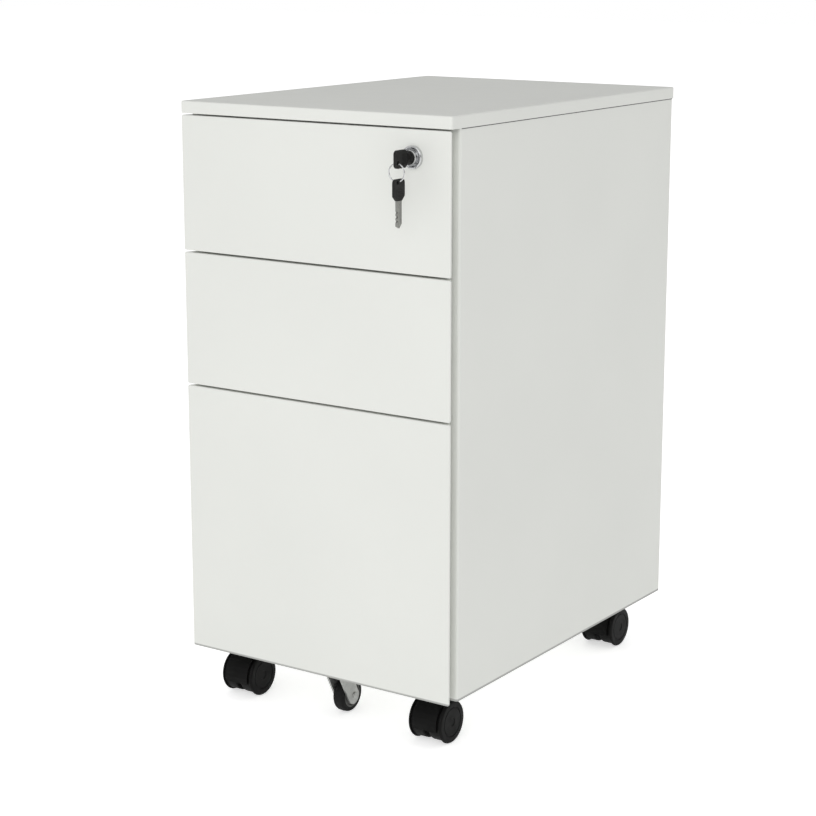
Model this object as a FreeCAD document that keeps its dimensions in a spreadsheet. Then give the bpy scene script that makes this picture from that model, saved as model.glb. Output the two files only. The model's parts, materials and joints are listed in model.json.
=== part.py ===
import FreeCAD, Part
import os
import re
from collections import namedtuple

import Sketcher

# Rolling pedestal cabinet: two box drawers over a file drawer in a folded steel carcass, on four
# twin-wheel casters, with a fifth wheel under the file drawer and a cam lock with two keys.
# Frame: +X right, +Y back, +Z up, origin on the floor below the centre of the top panel.

DIMENSIONS = (
    # carcass
    ("width", 300.0, "top panel, left to right"),
    ("depth", 412.0, "top panel, front to back"),
    ("height", 582.5, "floor to the top face"),
    ("floor_gap", 52.0, "floor to the carcass"),
    ("sheet", 1.0, "thickness of the folded sheet"),
    ("heavy_sheet", 1.2, "thickness of the load-bearing sheet"),
    ("fold", 2.5, "outside radius of a fold"),
    ("edge_round", 1.2, "radius along an exposed edge"),
    ("skirt", 11.3, "turned-down edge of the top panel"),
    ("side_inset", 1.0, "side panel in from the top panel's edge"),
    ("rear_inset", 1.0, "carcass in from the top panel's rear edge"),
    ("flange", 16.0, "width of a side panel's front and rear flanges"),
    ("fit_gap", 0.2, "play between sheets that slip into each other"),
    ("pan_depth", 7.4, "height of the base panel"),
    ("notch_half", 18.0, "half the width of the base panel's front notch"),
    ("notch_reach", 52.0, "depth of the base panel's front notch"),
    ("rail_height", 22.8, "height of the front rail"),
    ("rail_flange", 11.5, "width of the front rail's flanges"),
    ("upright_face", 133.3, "centre plane to the face of an upright"),
    ("upright_width", 28.0, "width of an upright"),
    ("upright_front", 15.0, "flange to the front uprights"),
    ("upright_rear", 44.0, "rear uprights in from the carcass rear"),
    # drawers
    ("front_depth", 14.5, "depth of a drawer front"),
    ("bumper_gap", 0.5, "drawer front to flange when shut"),
    ("face_edge", 2.0, "straight edge of a drawer front before its returns lean inward"),
    ("bevel", 9.0, "inward run of a drawer front's side returns"),
    ("return_wall", 1.2, "side return's thickness across the width"),
    ("face_round", 0.8, "radius round a drawer front's face"),
    ("corner_round", 1.5, "radius at the corners of a drawer front"),
    ("top_gap", 1.6, "gap above the top drawer"),
    ("reveal", 1.9, "gap between drawers"),
    ("box_front", 126.3, "height of a box drawer's front"),
    ("tray_half", 120.0, "half the width of a tray"),
    ("tray_length", 346.5, "length of a tray"),
    ("inner_front_half", 131.5, "half the width of a tray's front wall"),
    ("inner_front_margin", 2.0, "tray's front wall in from the drawer front's edges"),
    ("box_tray_low", 6.0, "box tray above the bottom of its front"),
    ("box_tray_high", 78.0, "box tray's rim above the bottom of its front"),
    ("box_slide_level", 42.0, "box slide above the bottom of its front"),
    ("file_tray_low", 15.2, "file tray above the bottom of its front"),
    ("file_tray_high", 239.0, "file tray's rim above the bottom of its front"),
    ("file_slide_level", 76.5, "file slide above the bottom of its front"),
    ("rail_bar", 12.0, "height of a hanging rail"),
    ("rail_bar_width", 6.0, "width of a hanging rail"),
    # slides
    ("slide_start", 8.0, "flange to the front end of the slides"),
    ("slide_length", 350.0, "length of every slide member"),
    ("slide_half", 22.5, "half the height of an outer slide member"),
    ("slide_wall", 1.2, "thickness of a slide member"),
    ("slide_play", 0.4, "running clearance between slide members"),
    ("slide_mouth", 122.5, "centre plane to the lips of the outer and middle members"),
    # lock
    ("lock_across", 110.4, "lock to the right of the centre plane"),
    ("lock_level", 545.7, "lock above the floor"),
    ("housing_radius", 8.0, "lock housing"),
    ("housing_length", 24.0, "lock housing behind the face"),
    ("plug_radius", 6.2, "lock plug"),
    ("plug_play", 0.05, "radial clearance of the plug"),
    ("plug_nose", 7.0, "plug in front of the face"),
    ("bezel_radius", 10.2, "lock bezel"),
    ("bezel_depth", 3.4, "lock bezel in front of the face"),
    ("shaft_half", 3.0, "half the width of the plug's square tail"),
    ("cam_half", 6.0, "half the width of the cam"),
    ("cam_reach", 23.1, "lock axis to the cam's tip"),
    ("cam_thick", 2.0, "thickness of the cam"),
    ("nut_flat", 10.5, "lock axis to a flat of the nut"),
    ("nut_thick", 4.0, "thickness of the nut"),
    ("bar_near", 134.2, "centre plane to the near edge of the lock bar"),
    ("bar_width", 10.0, "width of the lock bar"),
    ("bar_thick", 2.0, "thickness of the lock bar"),
    ("bar_back", 3.5, "flange to the lock bar"),
    ("bar_low", 77.0, "foot of the lock bar above the floor"),
    ("bar_high", 549.5, "top of the lock bar above the floor"),
    ("hook_near", 124.0, "centre plane to the tips of the hooks"),
    ("hook_high", 6.0, "height of a hook and of a catch"),
    ("bar_lift", 8.0, "rise of the lock bar when it locks"),
    ("catch_rise", 30.0, "slide to the foot of a tray's catch"),
    ("catch_reach", 8.0, "catch beyond the tray's side"),
    ("catch_back", 7.5, "tray's front wall to its catch"),
    ("catch_thick", 1.5, "thickness of a catch"),
    # keys
    ("head_long", 18.7, "length of a key's head"),
    ("head_half", 7.8, "half the width of a key's head"),
    ("head_thick", 2.6, "thickness of a key's head"),
    ("head_round", 3.6, "corner radius of a key's head"),
    ("shoulder", 4.0, "slope between a key's head and its blade"),
    ("eye", 1.8, "radius of the hole in a key's head"),
    ("eye_side", 2.7, "hole off the head's centre line"),
    ("eye_inset", 3.1, "hole in from the end of a key's head"),
    ("blade_half", 3.65, "half the width of a key's blade"),
    ("blade_thick", 1.8, "thickness of a key's blade"),
    ("blade_long", 23.7, "length of a key's blade"),
    ("blade_bite", 1.3, "depth of the cuts in a blade"),
    ("head_gap", 2.5, "key's head in front of the plug"),
    ("ring_radius", 7.7, "key ring, centre to centre of the wire"),
    ("wire", 0.65, "radius of the key ring's wire"),
    ("hang_play", 0.3, "clearance where the ring carries a key"),
    # fifth wheel
    ("fork_half", 8.7, "half the width of the fork"),
    ("fork_wall", 2.0, "thickness of the fork"),
    ("fork_front", 3.0, "flange to the front of the fork"),
    ("fork_length", 40.0, "length of the fork's top plate"),
    ("fork_end", 8.0, "radius of the fork's lower ends"),
    ("fork_lean", 27.8, "forward lean of the fork's legs, in degrees"),
    ("fork_ahead", 1.2, "axle to the centre line of a leg"),
    ("tip_axle_back", 35.5, "flange to the fifth wheel's axle"),
    ("tip_radius", 17.1, "radius of the fifth wheel"),
    ("tip_clear", 0.3, "fifth wheel above the floor"),
    ("tip_half", 5.9, "half the width of the fifth wheel's tyre"),
    ("tip_crown", 2.8, "radius along the edges of the fifth wheel's tread"),
    ("tip_hub", 12.2, "radius of the fifth wheel's hub"),
    ("tip_boss", 5.2, "radius of the hub's bosses"),
    ("tip_boss_half", 6.5, "half the length of the hub's bosses"),
    ("pin_radius", 2.5, "radius of every wheel axle"),
    ("pin_play", 0.05, "radial clearance of a wheel on its axle"),
    ("rivet_radius", 3.3, "radius of a rivet head"),
    ("rivet_thick", 1.3, "thickness of a rivet head"),
    # casters
    ("caster_across", 110.8, "centre plane to a caster's pivot"),
    ("caster_front", 150.8, "front casters' pivots in front of the centre"),
    ("caster_rear", 173.9, "rear casters' pivots behind the centre"),
    ("trail", 17.0, "caster's pivot to its axle"),
    ("wheel_radius", 20.4, "radius of a caster wheel"),
    ("wheel_inner", 2.8, "caster's centre plane to a wheel"),
    ("wheel_outer", 18.2, "caster's centre plane to a wheel's outer face"),
    ("rim_round", 2.2, "radius at a wheel's outer rim"),
    ("tread_radius", 18.8, "radius of a wheel under the fender"),
    ("disc_inner", 15.7, "caster's centre plane to a wheel's outer disc"),
    ("plate_half", 19.0, "half the width of a caster's plate"),
    ("plate_thick", 2.0, "thickness of a caster's plate"),
    ("plate_round", 4.0, "corner radius of a caster's plate"),
    ("pivot_radius", 4.0, "radius of a caster's pivot pin"),
    ("head_radius", 9.0, "radius of a caster's swivel head"),
    ("head_low", 46.0, "underside of the swivel head"),
    ("head_top", 55.2, "top of the swivel head"),
    ("web_half", 2.4, "half the thickness of a caster's web"),
    ("web_radius", 12.0, "radius of the web round the axle"),
    ("fender_gap", 0.8, "wheel to fender"),
    ("fender_wall", 1.6, "thickness of the fender"),
    ("fender_half", 13.4, "half the width of the fender"),
    ("axle_half", 14.6, "half the length of a caster's axle"),
    ("hub_depth", 15.0, "caster's centre plane to the end of a wheel's bore"),
    ("screw_offset", 14.0, "pivot to a plate screw, each way"),
    ("screw_radius", 3.2, "radius of a screw head"),
    ("screw_thick", 1.4, "thickness of a screw head"),
)

TOLERANCE = 1e-4
LEFT_AND_RIGHT = (("left", -1), ("right", 1))

doc = FreeCAD.newDocument("RollingPedestalCabinet")
dims = doc.addObject("Spreadsheet::Sheet", "Dims")
for row, (alias, number, meaning) in enumerate(DIMENSIONS, start=1):
    dims.set("A%d" % row, meaning)
    dims.set("B%d" % row, str(number))
    dims.setAlias("B%d" % row, alias)
doc.recompute()

ALIASES = re.compile(r"\b(%s)\b" % "|".join(alias for alias, _, _ in DIMENSIONS))
nodes = []

# Named places, written in the sheet's aliases.
SIDE = "(width/2 - side_inset)"
SIDE_INSIDE = "(width/2 - side_inset - sheet)"
INSIDE_HALF = "(width/2 - side_inset - fold - fit_gap)"
FRONT = "(-depth/2)"
DRAWER_BACK = "(-depth/2 + front_depth)"
FLANGE_FACE = "(-depth/2 + front_depth + bumper_gap)"
REAR = "(depth/2 - rear_inset)"
ROOF = "(height - sheet)"
BASE_TOP = "(floor_gap + pan_depth)"
BASE_UNDER = "(floor_gap + pan_depth - heavy_sheet)"
TOP_OF_FRONTS = "(height - skirt - top_gap)"
BAR_FRONT = "(%s + bar_back)" % FLANGE_FACE
TIP_AXLE_LEVEL = "(tip_radius + tip_clear)"

Drawer = namedtuple("Drawer", "number low high tray_low tray_high slide_level")


def drawer(number, low, high, kind):
    """A drawer's levels: kind is box or file."""
    return Drawer(
        number,
        low,
        high,
        "(%s + %s_tray_low)" % (low, kind),
        "(%s + %s_tray_high)" % (low, kind),
        "(%s + %s_slide_level)" % (low, kind),
    )


DRAWERS = (
    drawer(1, "(%s - box_front)" % TOP_OF_FRONTS, TOP_OF_FRONTS, "box"),
    drawer(
        2,
        "(%s - 2*box_front - reveal)" % TOP_OF_FRONTS,
        "(%s - box_front - reveal)" % TOP_OF_FRONTS,
        "box",
    ),
    drawer(3, "floor_gap", "(%s - 2*box_front - 2*reveal)" % TOP_OF_FRONTS, "file"),
)


# ---------------------------------------------------------------- helpers


def bind(thing, name, expression):
    """Bind a property to an expression in the sheet's aliases."""
    thing.setExpression(name, ALIASES.sub(r"Dims.\1", expression))


def value(expression):
    return float(dims.evalExpression(expression))


def keep(thing, label):
    """Mark a finished object as a sub-part."""
    thing.Label = label
    nodes.append(thing)
    return thing


def new_body(label):
    body = doc.addObject("PartDesign::Body", "Body_" + label)
    body.Label = label
    return body


def place(thing, across="0", back="0", up="0"):
    """Put an object's own origin at a point of the cabinet's frame."""
    bind(thing, "Placement.Base.x", across)
    bind(thing, "Placement.Base.y", back)
    bind(thing, "Placement.Base.z", up)
    return thing


def drawing_on(body, plane, level):
    """An empty sketch parallel to one of the body's origin planes, at a level along +X, +Y or +Z."""
    number = len([item for item in body.Group if item.isDerivedFrom("Sketcher::SketchObject")])
    drawing = body.newObject("Sketcher::SketchObject", "%s_sketch_%d" % (body.Name, number))
    drawing.AttachmentSupport = (
        [item for item in body.Origin.OriginFeatures if item.Role == plane][0],
        [""],
    )
    drawing.MapMode = "FlatFace"
    bind(drawing, "AttachmentOffset.Base.z", "-(%s)" % level if plane == "XZ_Plane" else level)
    return drawing


def fix_point(drawing, item, end, point):
    """Tie one end of an item of a sketch to a point given as two expressions."""
    for kind, coordinate in zip(("DistanceX", "DistanceY"), point):
        rule = Sketcher.Constraint(kind, -1, 1, item, end, value(coordinate))
        index = drawing.addConstraint(rule)
        bind(drawing, "Constraints[%d]" % index, coordinate)


def add_outline(drawing, points):
    """A closed outline of straight lines through the points."""
    corners = [FreeCAD.Vector(value(u), value(v), 0) for u, v in points]
    first = drawing.GeometryCount
    count = len(points)
    for index in range(count):
        line = Part.LineSegment(corners[index], corners[(index + 1) % count])
        drawing.addGeometry(line)
    for index in range(count):
        following = first + (index + 1) % count
        drawing.addConstraint(Sketcher.Constraint("Coincident", first + index, 2, following, 1))
        fix_point(drawing, first + index, 1, points[index])


def add_circle(drawing, centre, radius):
    middle = FreeCAD.Vector(value(centre[0]), value(centre[1]), 0)
    circle = Part.Circle(middle, FreeCAD.Vector(0, 0, 1), value(radius))
    item = drawing.addGeometry(circle)
    fix_point(drawing, item, 3, centre)
    index = drawing.addConstraint(Sketcher.Constraint("Radius", item, value(radius)))
    bind(drawing, "Constraints[%d]" % index, radius)


def box_points(low_u, high_u, low_v, high_v):
    return ((low_u, low_v), (high_u, low_v), (high_u, high_v), (low_u, high_v))


def both_sides(points):
    """An outline that is closed by the mirror image of its right-hand points."""
    return list(points) + [("-" + across, back) for across, back in reversed(points)]


def mirrored(side, expression):
    """The same distance to the left (-1) or right (1) of a centre plane."""
    return "(%d*%s)" % (side, expression)


def add_pad(body, plane, shapes, low, high):
    """Pad outlines or (centre, radius) circles from one level to another."""
    drawing = drawing_on(body, plane, high if plane == "XZ_Plane" else low)
    draw(drawing, shapes)
    pad = body.newObject("PartDesign::Pad", body.Name + "_pad")
    pad.Profile = drawing
    bind(pad, "Length", "%s - (%s)" % (high, low))
    body.Tip = pad
    doc.recompute()
    return pad


def add_pocket(body, plane, shapes, low, high):
    """Cut outlines or circles out of a body from one level to another."""
    before = body.Shape.Volume
    drawing = drawing_on(body, plane, low if plane == "XZ_Plane" else high)
    draw(drawing, shapes)
    pocket = body.newObject("PartDesign::Pocket", body.Name + "_pocket")
    pocket.Profile = drawing
    bind(pocket, "Length", "%s - (%s)" % (high, low))
    body.Tip = pocket
    doc.recompute()
    if body.Shape.Volume > before - TOLERANCE:
        raise RuntimeError("a pocket of %s cuts nothing" % body.Label)
    return pocket


def draw(drawing, shapes):
    for shape in shapes:
        if len(shape) == 2:
            add_circle(drawing, *shape)
        else:
            add_outline(drawing, shape)


def add_turning(body, plane, points, axis):
    """Turn an outline round the sketch's own H_Axis or V_Axis."""
    drawing = drawing_on(body, plane, "0")
    add_outline(drawing, points)
    turning = body.newObject("PartDesign::Revolution", body.Name + "_turning")
    turning.Profile = drawing
    turning.ReferenceAxis = (drawing, [axis])
    turning.Angle = 360
    body.Tip = turning
    doc.recompute()
    return turning


def add_fillet(body, radius, chosen):
    """Round the edges of a body that a test chooses."""
    base = body.Tip
    names = [
        "Edge%d" % number
        for number, edge in enumerate(base.Shape.Edges, start=1)
        if chosen(edge)
    ]
    if not names:
        raise RuntimeError("no edge of %s to round" % body.Label)
    fillet = body.newObject("PartDesign::Fillet", body.Name + "_fillet")
    fillet.Base = (base, names)
    bind(fillet, "Radius", radius)
    body.Tip = fillet
    doc.recompute()
    return fillet


def edge_at(**levels):
    """A test for edges that lie wholly at the given x, y or z levels, on either side of centre."""
    wanted = {axis.upper(): abs(value(level)) for axis, level in levels.items()}

    def chosen(edge):
        box = edge.BoundBox
        misses = [getattr(box, axis + "Length") for axis in wanted]
        misses += [abs(abs(getattr(box, axis + "Min")) - level) for axis, level in wanted.items()]
        return max(misses) < TOLERANCE

    return chosen


def rim_at(across, radius):
    """A test for a circle round the X axis, at a distance along it."""

    def chosen(edge):
        box = edge.BoundBox
        level = abs(box.XMin - value(across)) < TOLERANCE and box.XLength < TOLERANCE
        return level and abs(box.ZMax - value(radius)) < TOLERANCE

    return chosen


def group(label, things):
    """Several equal pieces that make one sub-part."""
    compound = doc.addObject("Part::Compound", "Group_" + label)
    compound.Links = things
    return keep(compound, label)


# ---------------------------------------------------------------- carcass


def make_top_panel():
    """Shallow steel lid with its edges turned down all round."""
    body = new_body("top_panel")
    low = "(height - skirt)"
    outside = box_points("-width/2", "width/2", "-depth/2", "depth/2")
    add_pad(body, "XY_Plane", [outside], low, "height")
    add_fillet(body, "fold", edge_at(x="width/2", y="depth/2"))
    add_fillet(body, "edge_round", edge_at(z="height"))
    half_across = "(width/2 - sheet)"
    half_back = "(depth/2 - sheet)"
    inside = box_points("-" + half_across, half_across, "-" + half_back, half_back)
    add_pocket(body, "XY_Plane", [inside], low, ROOF)
    keep(body, "top_panel")


def make_side_panel(name, side):
    """Upright sheet with flanges folded in at the front and the rear."""
    body = new_body("side_panel_" + name)
    lip = "(width/2 - side_inset - flange)"
    outline = (
        (lip, FLANGE_FACE),
        (SIDE, FLANGE_FACE),
        (SIDE, REAR),
        (lip, REAR),
        (lip, "(%s - sheet)" % REAR),
        (SIDE_INSIDE, "(%s - sheet)" % REAR),
        (SIDE_INSIDE, "(%s + sheet)" % FLANGE_FACE),
        (lip, "(%s + sheet)" % FLANGE_FACE),
    )
    points = [(mirrored(side, across), back) for across, back in outline]
    add_pad(body, "XY_Plane", [points], "floor_gap", ROOF)
    for back in (FLANGE_FACE, REAR):
        add_fillet(body, "fold", edge_at(x=SIDE, y=back))
    for back in ("%s + sheet" % FLANGE_FACE, "%s - sheet" % REAR):
        add_fillet(body, "fold - sheet", edge_at(x=SIDE_INSIDE, y=back))
    keep(body, "side_panel_" + name)


def make_back_panel():
    """Flat sheet behind the rear flanges, its top edge folded forward."""
    body = new_body("back_panel")
    half = INSIDE_HALF
    outside = "(%s - sheet)" % REAR
    inside = "(%s - 2*sheet)" % REAR
    top = "(%s - fit_gap)" % ROOF
    face = box_points("-" + half, half, "floor_gap + sheet", top)
    add_pad(body, "XZ_Plane", [face], inside, outside)
    lip = box_points("-" + half, half, "%s - flange" % inside, outside)
    add_pad(body, "XY_Plane", [lip], "%s - sheet" % top, top)
    keep(body, "back_panel")


def make_base_panel():
    """Shallow pan, open below, notched at the front for the fifth wheel's fork."""
    body = new_body("base_panel")
    half = INSIDE_HALF
    front = "(%s + sheet + fit_gap)" % FLANGE_FACE
    rear = "(%s - 2*sheet - fit_gap)" % REAR
    outside = box_points("-" + half, half, front, rear)
    add_pad(body, "XY_Plane", [outside], "floor_gap", BASE_TOP)
    inside = box_points(
        "-%s + heavy_sheet" % half,
        "%s - heavy_sheet" % half,
        "%s + heavy_sheet" % front,
        "%s - heavy_sheet" % rear,
    )
    add_pocket(body, "XY_Plane", [inside], "floor_gap", BASE_UNDER)
    notch = box_points("-notch_half", "notch_half", "%s - sheet" % front, "%s + notch_reach" % front)
    add_pocket(body, "XY_Plane", [notch], "floor_gap", BASE_TOP)
    keep(body, "base_panel")


def make_top_rail():
    """Channel across the front of the carcass, just under the top panel."""
    body = new_body("top_rail")
    half = INSIDE_HALF
    front = "(%s + sheet + 2*fit_gap)" % FLANGE_FACE
    top = "(%s - fit_gap)" % ROOF
    low = "(%s - rail_height)" % top
    deep = "(%s + rail_flange)" % front
    channel = (
        (front, low),
        (deep, low),
        (deep, "%s + heavy_sheet" % low),
        ("%s + heavy_sheet" % front, "%s + heavy_sheet" % low),
        ("%s + heavy_sheet" % front, "%s - heavy_sheet" % top),
        (deep, "%s - heavy_sheet" % top),
        (deep, top),
        (front, top),
    )
    add_pad(body, "YZ_Plane", [channel], "-" + half, half)
    keep(body, "top_rail")


def make_upright(label, side, front):
    """Channel that carries the slides, its legs against the side panel."""
    body = new_body(label)
    rear = "(%s + upright_width)" % front
    channel = (
        ("upright_face", front),
        (SIDE_INSIDE, front),
        (SIDE_INSIDE, "%s + heavy_sheet" % front),
        ("upright_face + heavy_sheet", "%s + heavy_sheet" % front),
        ("upright_face + heavy_sheet", "%s - heavy_sheet" % rear),
        (SIDE_INSIDE, "%s - heavy_sheet" % rear),
        (SIDE_INSIDE, rear),
        ("upright_face", rear),
    )
    points = [(mirrored(side, "(%s)" % across), back) for across, back in channel]
    top = "(%s - rail_height - 2*sheet)" % ROOF
    add_pad(body, "XY_Plane", [points], BASE_TOP, top)
    return body


def make_uprights(name, side):
    fronts = {
        "front": "(%s + upright_front)" % FLANGE_FACE,
        "rear": "(%s - upright_rear - upright_width)" % REAR,
    }
    pair = [
        make_upright("upright_%s_%s" % (end, name), side, front)
        for end, front in fronts.items()
    ]
    group("uprights_" + name, pair)


# ---------------------------------------------------------------- slides


def make_slide_member(label, side, level, web, mouth, half):
    """Channel along Y: a web at one distance across, lips reaching to the mouth."""
    body = new_body(label)
    inward = value(web) > value(mouth)
    web_face = "(%s %s slide_wall)" % (web, "-" if inward else "+")
    outer = half
    inner = "(%s - slide_wall)" % half
    channel = (
        (web, "-" + outer),
        (mouth, "-" + outer),
        (mouth, "-" + inner),
        (web_face, "-" + inner),
        (web_face, inner),
        (mouth, inner),
        (mouth, outer),
        (web, outer),
    )
    points = [
        (mirrored(side, "(%s)" % across), "%s + (%s)" % (level, up)) for across, up in channel
    ]
    start = "(%s + slide_start)" % FLANGE_FACE
    add_pad(body, "XZ_Plane", [points], start, "%s + slide_length" % start)
    return body


def make_slide_pair(kind, unit, web, mouth, half):
    """The same member on the left and the right of one drawer."""
    label = "slide_%s_%d" % (kind, unit.number)
    pair = [
        make_slide_member("%s_%s" % (label, name), side, unit.slide_level, web, mouth, half)
        for name, side in LEFT_AND_RIGHT
    ]
    group(label, pair)


def make_slides(unit):
    """Nested members: two for a box drawer, three for the file drawer."""
    step = "(slide_wall + slide_play)"
    middle_web = "(upright_face - %s)" % step
    make_slide_pair("outer", unit, "upright_face", "slide_mouth", "slide_half")
    if unit.number == 3:
        make_slide_pair("middle", unit, middle_web, "slide_mouth", "(slide_half - %s)" % step)
        reach = "(upright_face - 2*%s)" % step
        half = "(slide_half - 2*%s)" % step
    else:
        reach = middle_web
        half = "(slide_half - %s)" % step
    make_slide_pair("inner", unit, "tray_half", reach, half)


# ---------------------------------------------------------------- drawers


def make_drawer_front(unit):
    """Folded pan, open at the back, whose side returns lean inward to make a finger recess."""
    body = new_body("drawer_front_%d" % unit.number)
    back_half = "(%s - bevel)" % SIDE
    knee = "(%s + face_edge)" % FRONT
    right = ((SIDE, FRONT), (SIDE, knee), (back_half, DRAWER_BACK))
    add_pad(body, "XY_Plane", [both_sides(right)], unit.low, unit.high)

    def corner(edge):
        box = edge.BoundBox
        return box.ZLength < TOLERANCE and TOLERANCE < box.YLength and box.XLength < value("width/2")

    add_fillet(body, "corner_round", corner)
    add_fillet(body, "face_round", edge_at(y=FRONT))
    inside = (
        ("(%s - return_wall)" % SIDE, "%s + sheet" % FRONT),
        ("(%s - return_wall)" % SIDE, knee),
        ("(%s - return_wall)" % back_half, DRAWER_BACK),
    )
    low = "%s + sheet" % unit.low
    add_pocket(body, "XY_Plane", [both_sides(inside)], low, "%s - sheet" % unit.high)
    if unit.number == 1:
        hole = (("lock_across", "lock_level"), "housing_radius + plug_play")
        add_pocket(body, "XZ_Plane", [hole], FRONT, "%s + 2*sheet" % FRONT)
    keep(body, "drawer_front_%d" % unit.number)


def make_tray(unit):
    """Open steel box with a wide front wall and a catch for the lock bar."""
    body = new_body("drawer_tray_%d" % unit.number)
    rear = "(%s + tray_length)" % DRAWER_BACK
    outside = box_points("-tray_half", "tray_half", DRAWER_BACK, rear)
    add_pad(body, "XY_Plane", [outside], unit.tray_low, unit.tray_high)
    inside = box_points(
        "-tray_half + sheet", "tray_half - sheet", "%s + sheet" % DRAWER_BACK, "%s - sheet" % rear
    )
    add_pocket(body, "XY_Plane", [inside], "%s + sheet" % unit.tray_low, unit.tray_high)
    wall = box_points(
        "-inner_front_half",
        "inner_front_half",
        "%s + inner_front_margin" % unit.low if unit.number < 3 else unit.tray_low,
        "%s - inner_front_margin" % unit.high,
    )
    add_pad(body, "XZ_Plane", [wall], DRAWER_BACK, "%s + sheet" % DRAWER_BACK)
    foot = "(%s + catch_rise)" % unit.slide_level
    catch = box_points("tray_half - sheet", "tray_half + catch_reach", foot, "%s + hook_high" % foot)
    catch_front = "(%s + catch_back)" % DRAWER_BACK
    add_pad(body, "XZ_Plane", [catch], catch_front, "%s + catch_thick" % catch_front)
    if unit.number == 1:
        hole = (("lock_across", "lock_level"), "housing_radius + fit_gap")
        add_pocket(body, "XZ_Plane", [hole], DRAWER_BACK, "%s + 2*sheet" % DRAWER_BACK)
    keep(body, "drawer_tray_%d" % unit.number)


def make_hanging_rail(name, middle):
    """Bar across the file tray on which folders hang, hooked over at its top edge."""
    body = new_body("hanging_rail_" + name)
    unit = DRAWERS[2]
    low_y = "(%s - rail_bar_width/2)" % middle
    high_y = "(%s + rail_bar_width/2)" % middle
    low_z = "(%s - rail_bar)" % unit.tray_high
    hook = (
        (low_y, low_z),
        ("%s + heavy_sheet" % low_y, low_z),
        ("%s + heavy_sheet" % low_y, "%s - heavy_sheet" % unit.tray_high),
        ("%s - heavy_sheet" % high_y, "%s - heavy_sheet" % unit.tray_high),
        ("%s - heavy_sheet" % high_y, "%s + rail_bar/3" % low_z),
        (high_y, "%s + rail_bar/3" % low_z),
        (high_y, unit.tray_high),
        (low_y, unit.tray_high),
    )
    half = "(tray_half - sheet)"
    add_pad(body, "YZ_Plane", [hook], "-" + half, half)
    keep(body, "hanging_rail_" + name)


def make_hanging_rails():
    make_hanging_rail("front", "(%s + sheet + rail_bar_width/2)" % DRAWER_BACK)
    make_hanging_rail("rear", "(%s + tray_length - sheet - rail_bar_width/2)" % DRAWER_BACK)


# ---------------------------------------------------------------- lock and keys


def make_lock_housing():
    """Tube through the drawer front in which the plug turns."""
    body = new_body("lock_housing")
    bore = "(plug_radius + plug_play)"
    points = box_points(FRONT, "%s + housing_length" % FRONT, bore, "housing_radius")
    add_turning(body, "YZ_Plane", points, "H_Axis")
    keep(place(body, "lock_across", "0", "lock_level"), "lock_housing")


def make_lock_bezel():
    """Dished ring round the plug, in front of the drawer's face."""
    body = new_body("lock_bezel")
    inner = "(plug_radius + 8*plug_play)"
    points = (
        (FRONT, inner),
        (FRONT, "bezel_radius"),
        ("%s - 0.75*bezel_depth" % FRONT, "bezel_radius"),
        ("%s - bezel_depth" % FRONT, "bezel_radius - 0.2*bezel_depth"),
        ("%s - 0.4*bezel_depth" % FRONT, inner),
    )
    add_turning(body, "YZ_Plane", points, "H_Axis")
    keep(place(body, "lock_across", "0", "lock_level"), "lock_bezel")


def make_lock_nut():
    """Hexagonal nut that clamps the housing behind the face."""
    body = new_body("lock_nut")
    corner = "(nut_flat/cos(30))"
    hexagon = [
        ("%s*cos(%d)" % (corner, 60 * turn), "%s*sin(%d)" % (corner, 60 * turn))
        for turn in range(6)
    ]
    front = "(%s + sheet)" % FRONT
    add_pad(body, "XZ_Plane", [hexagon], front, "%s + nut_thick" % front)
    bore = (("0", "0"), "housing_radius")
    add_pocket(body, "XZ_Plane", [bore], front, "%s + nut_thick" % front)
    keep(place(body, "lock_across", "0", "lock_level"), "lock_nut")


def make_lock_plug():
    """Turning cylinder with a key slot in front and a square tail behind."""
    body = new_body("lock_plug")
    nose = "(%s - plug_nose)" % FRONT
    tail = "(%s + housing_length)" % FRONT
    add_pad(body, "XZ_Plane", [(("0", "0"), "plug_radius")], nose, tail)
    square = box_points("-shaft_half", "shaft_half", "-shaft_half", "shaft_half")
    add_pad(body, "XZ_Plane", [square], tail, "%s + 2*cam_thick" % tail)
    slot = box_points("-blade_thick/2", "blade_thick/2", "-blade_half", "blade_half")
    add_pocket(body, "XZ_Plane", [slot], nose, "%s + blade_long - head_gap" % nose)
    keep(place(body, "lock_across", "0", "lock_level"), "lock_plug")


def make_lock_cam():
    """Arm on the plug's tail; it points down when the lock is open."""
    body = new_body("lock_cam")
    front = "(%s + housing_length + fit_gap)" % FRONT
    arm = box_points("-cam_half", "cam_half", "-cam_reach", "cam_half")
    add_pad(body, "XZ_Plane", [arm], front, "%s + cam_thick" % front)
    add_fillet(body, "cam_half/2", edge_at(x="cam_half", z="cam_reach"))
    add_fillet(body, "cam_half/2", edge_at(x="cam_half", z="cam_half"))
    square = box_points("-shaft_half", "shaft_half", "-shaft_half", "shaft_half")
    add_pocket(body, "XZ_Plane", [square], front, "%s + cam_thick" % front)
    keep(place(body, "lock_across", "0", "lock_level"), "lock_cam")


def make_lock_bar():
    """Flat bar behind the right flange; the cam lifts it and its hooks hold the drawers."""
    body = new_body("lock_bar")
    rear = "(%s + bar_thick)" % BAR_FRONT
    strip = box_points("bar_near", "bar_near + bar_width", "bar_low", "bar_high")
    add_pad(body, "XZ_Plane", [strip], BAR_FRONT, rear)
    for unit in DRAWERS:
        foot = "(%s + catch_rise - bar_lift)" % unit.slide_level
        hook = box_points("hook_near", "bar_near + bar_width/2", foot, "%s + hook_high" % foot)
        add_pad(body, "XZ_Plane", [hook], BAR_FRONT, rear)
    under = "(lock_level + cam_half + 2*fit_gap - bar_lift)"
    tab = box_points("hook_near", "bar_near + bar_width/2", under, "%s + bar_thick" % under)
    add_pad(body, "XZ_Plane", [tab], BAR_FRONT, "%s + 3*bar_thick" % rear)
    keep(body, "lock_bar")


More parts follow.
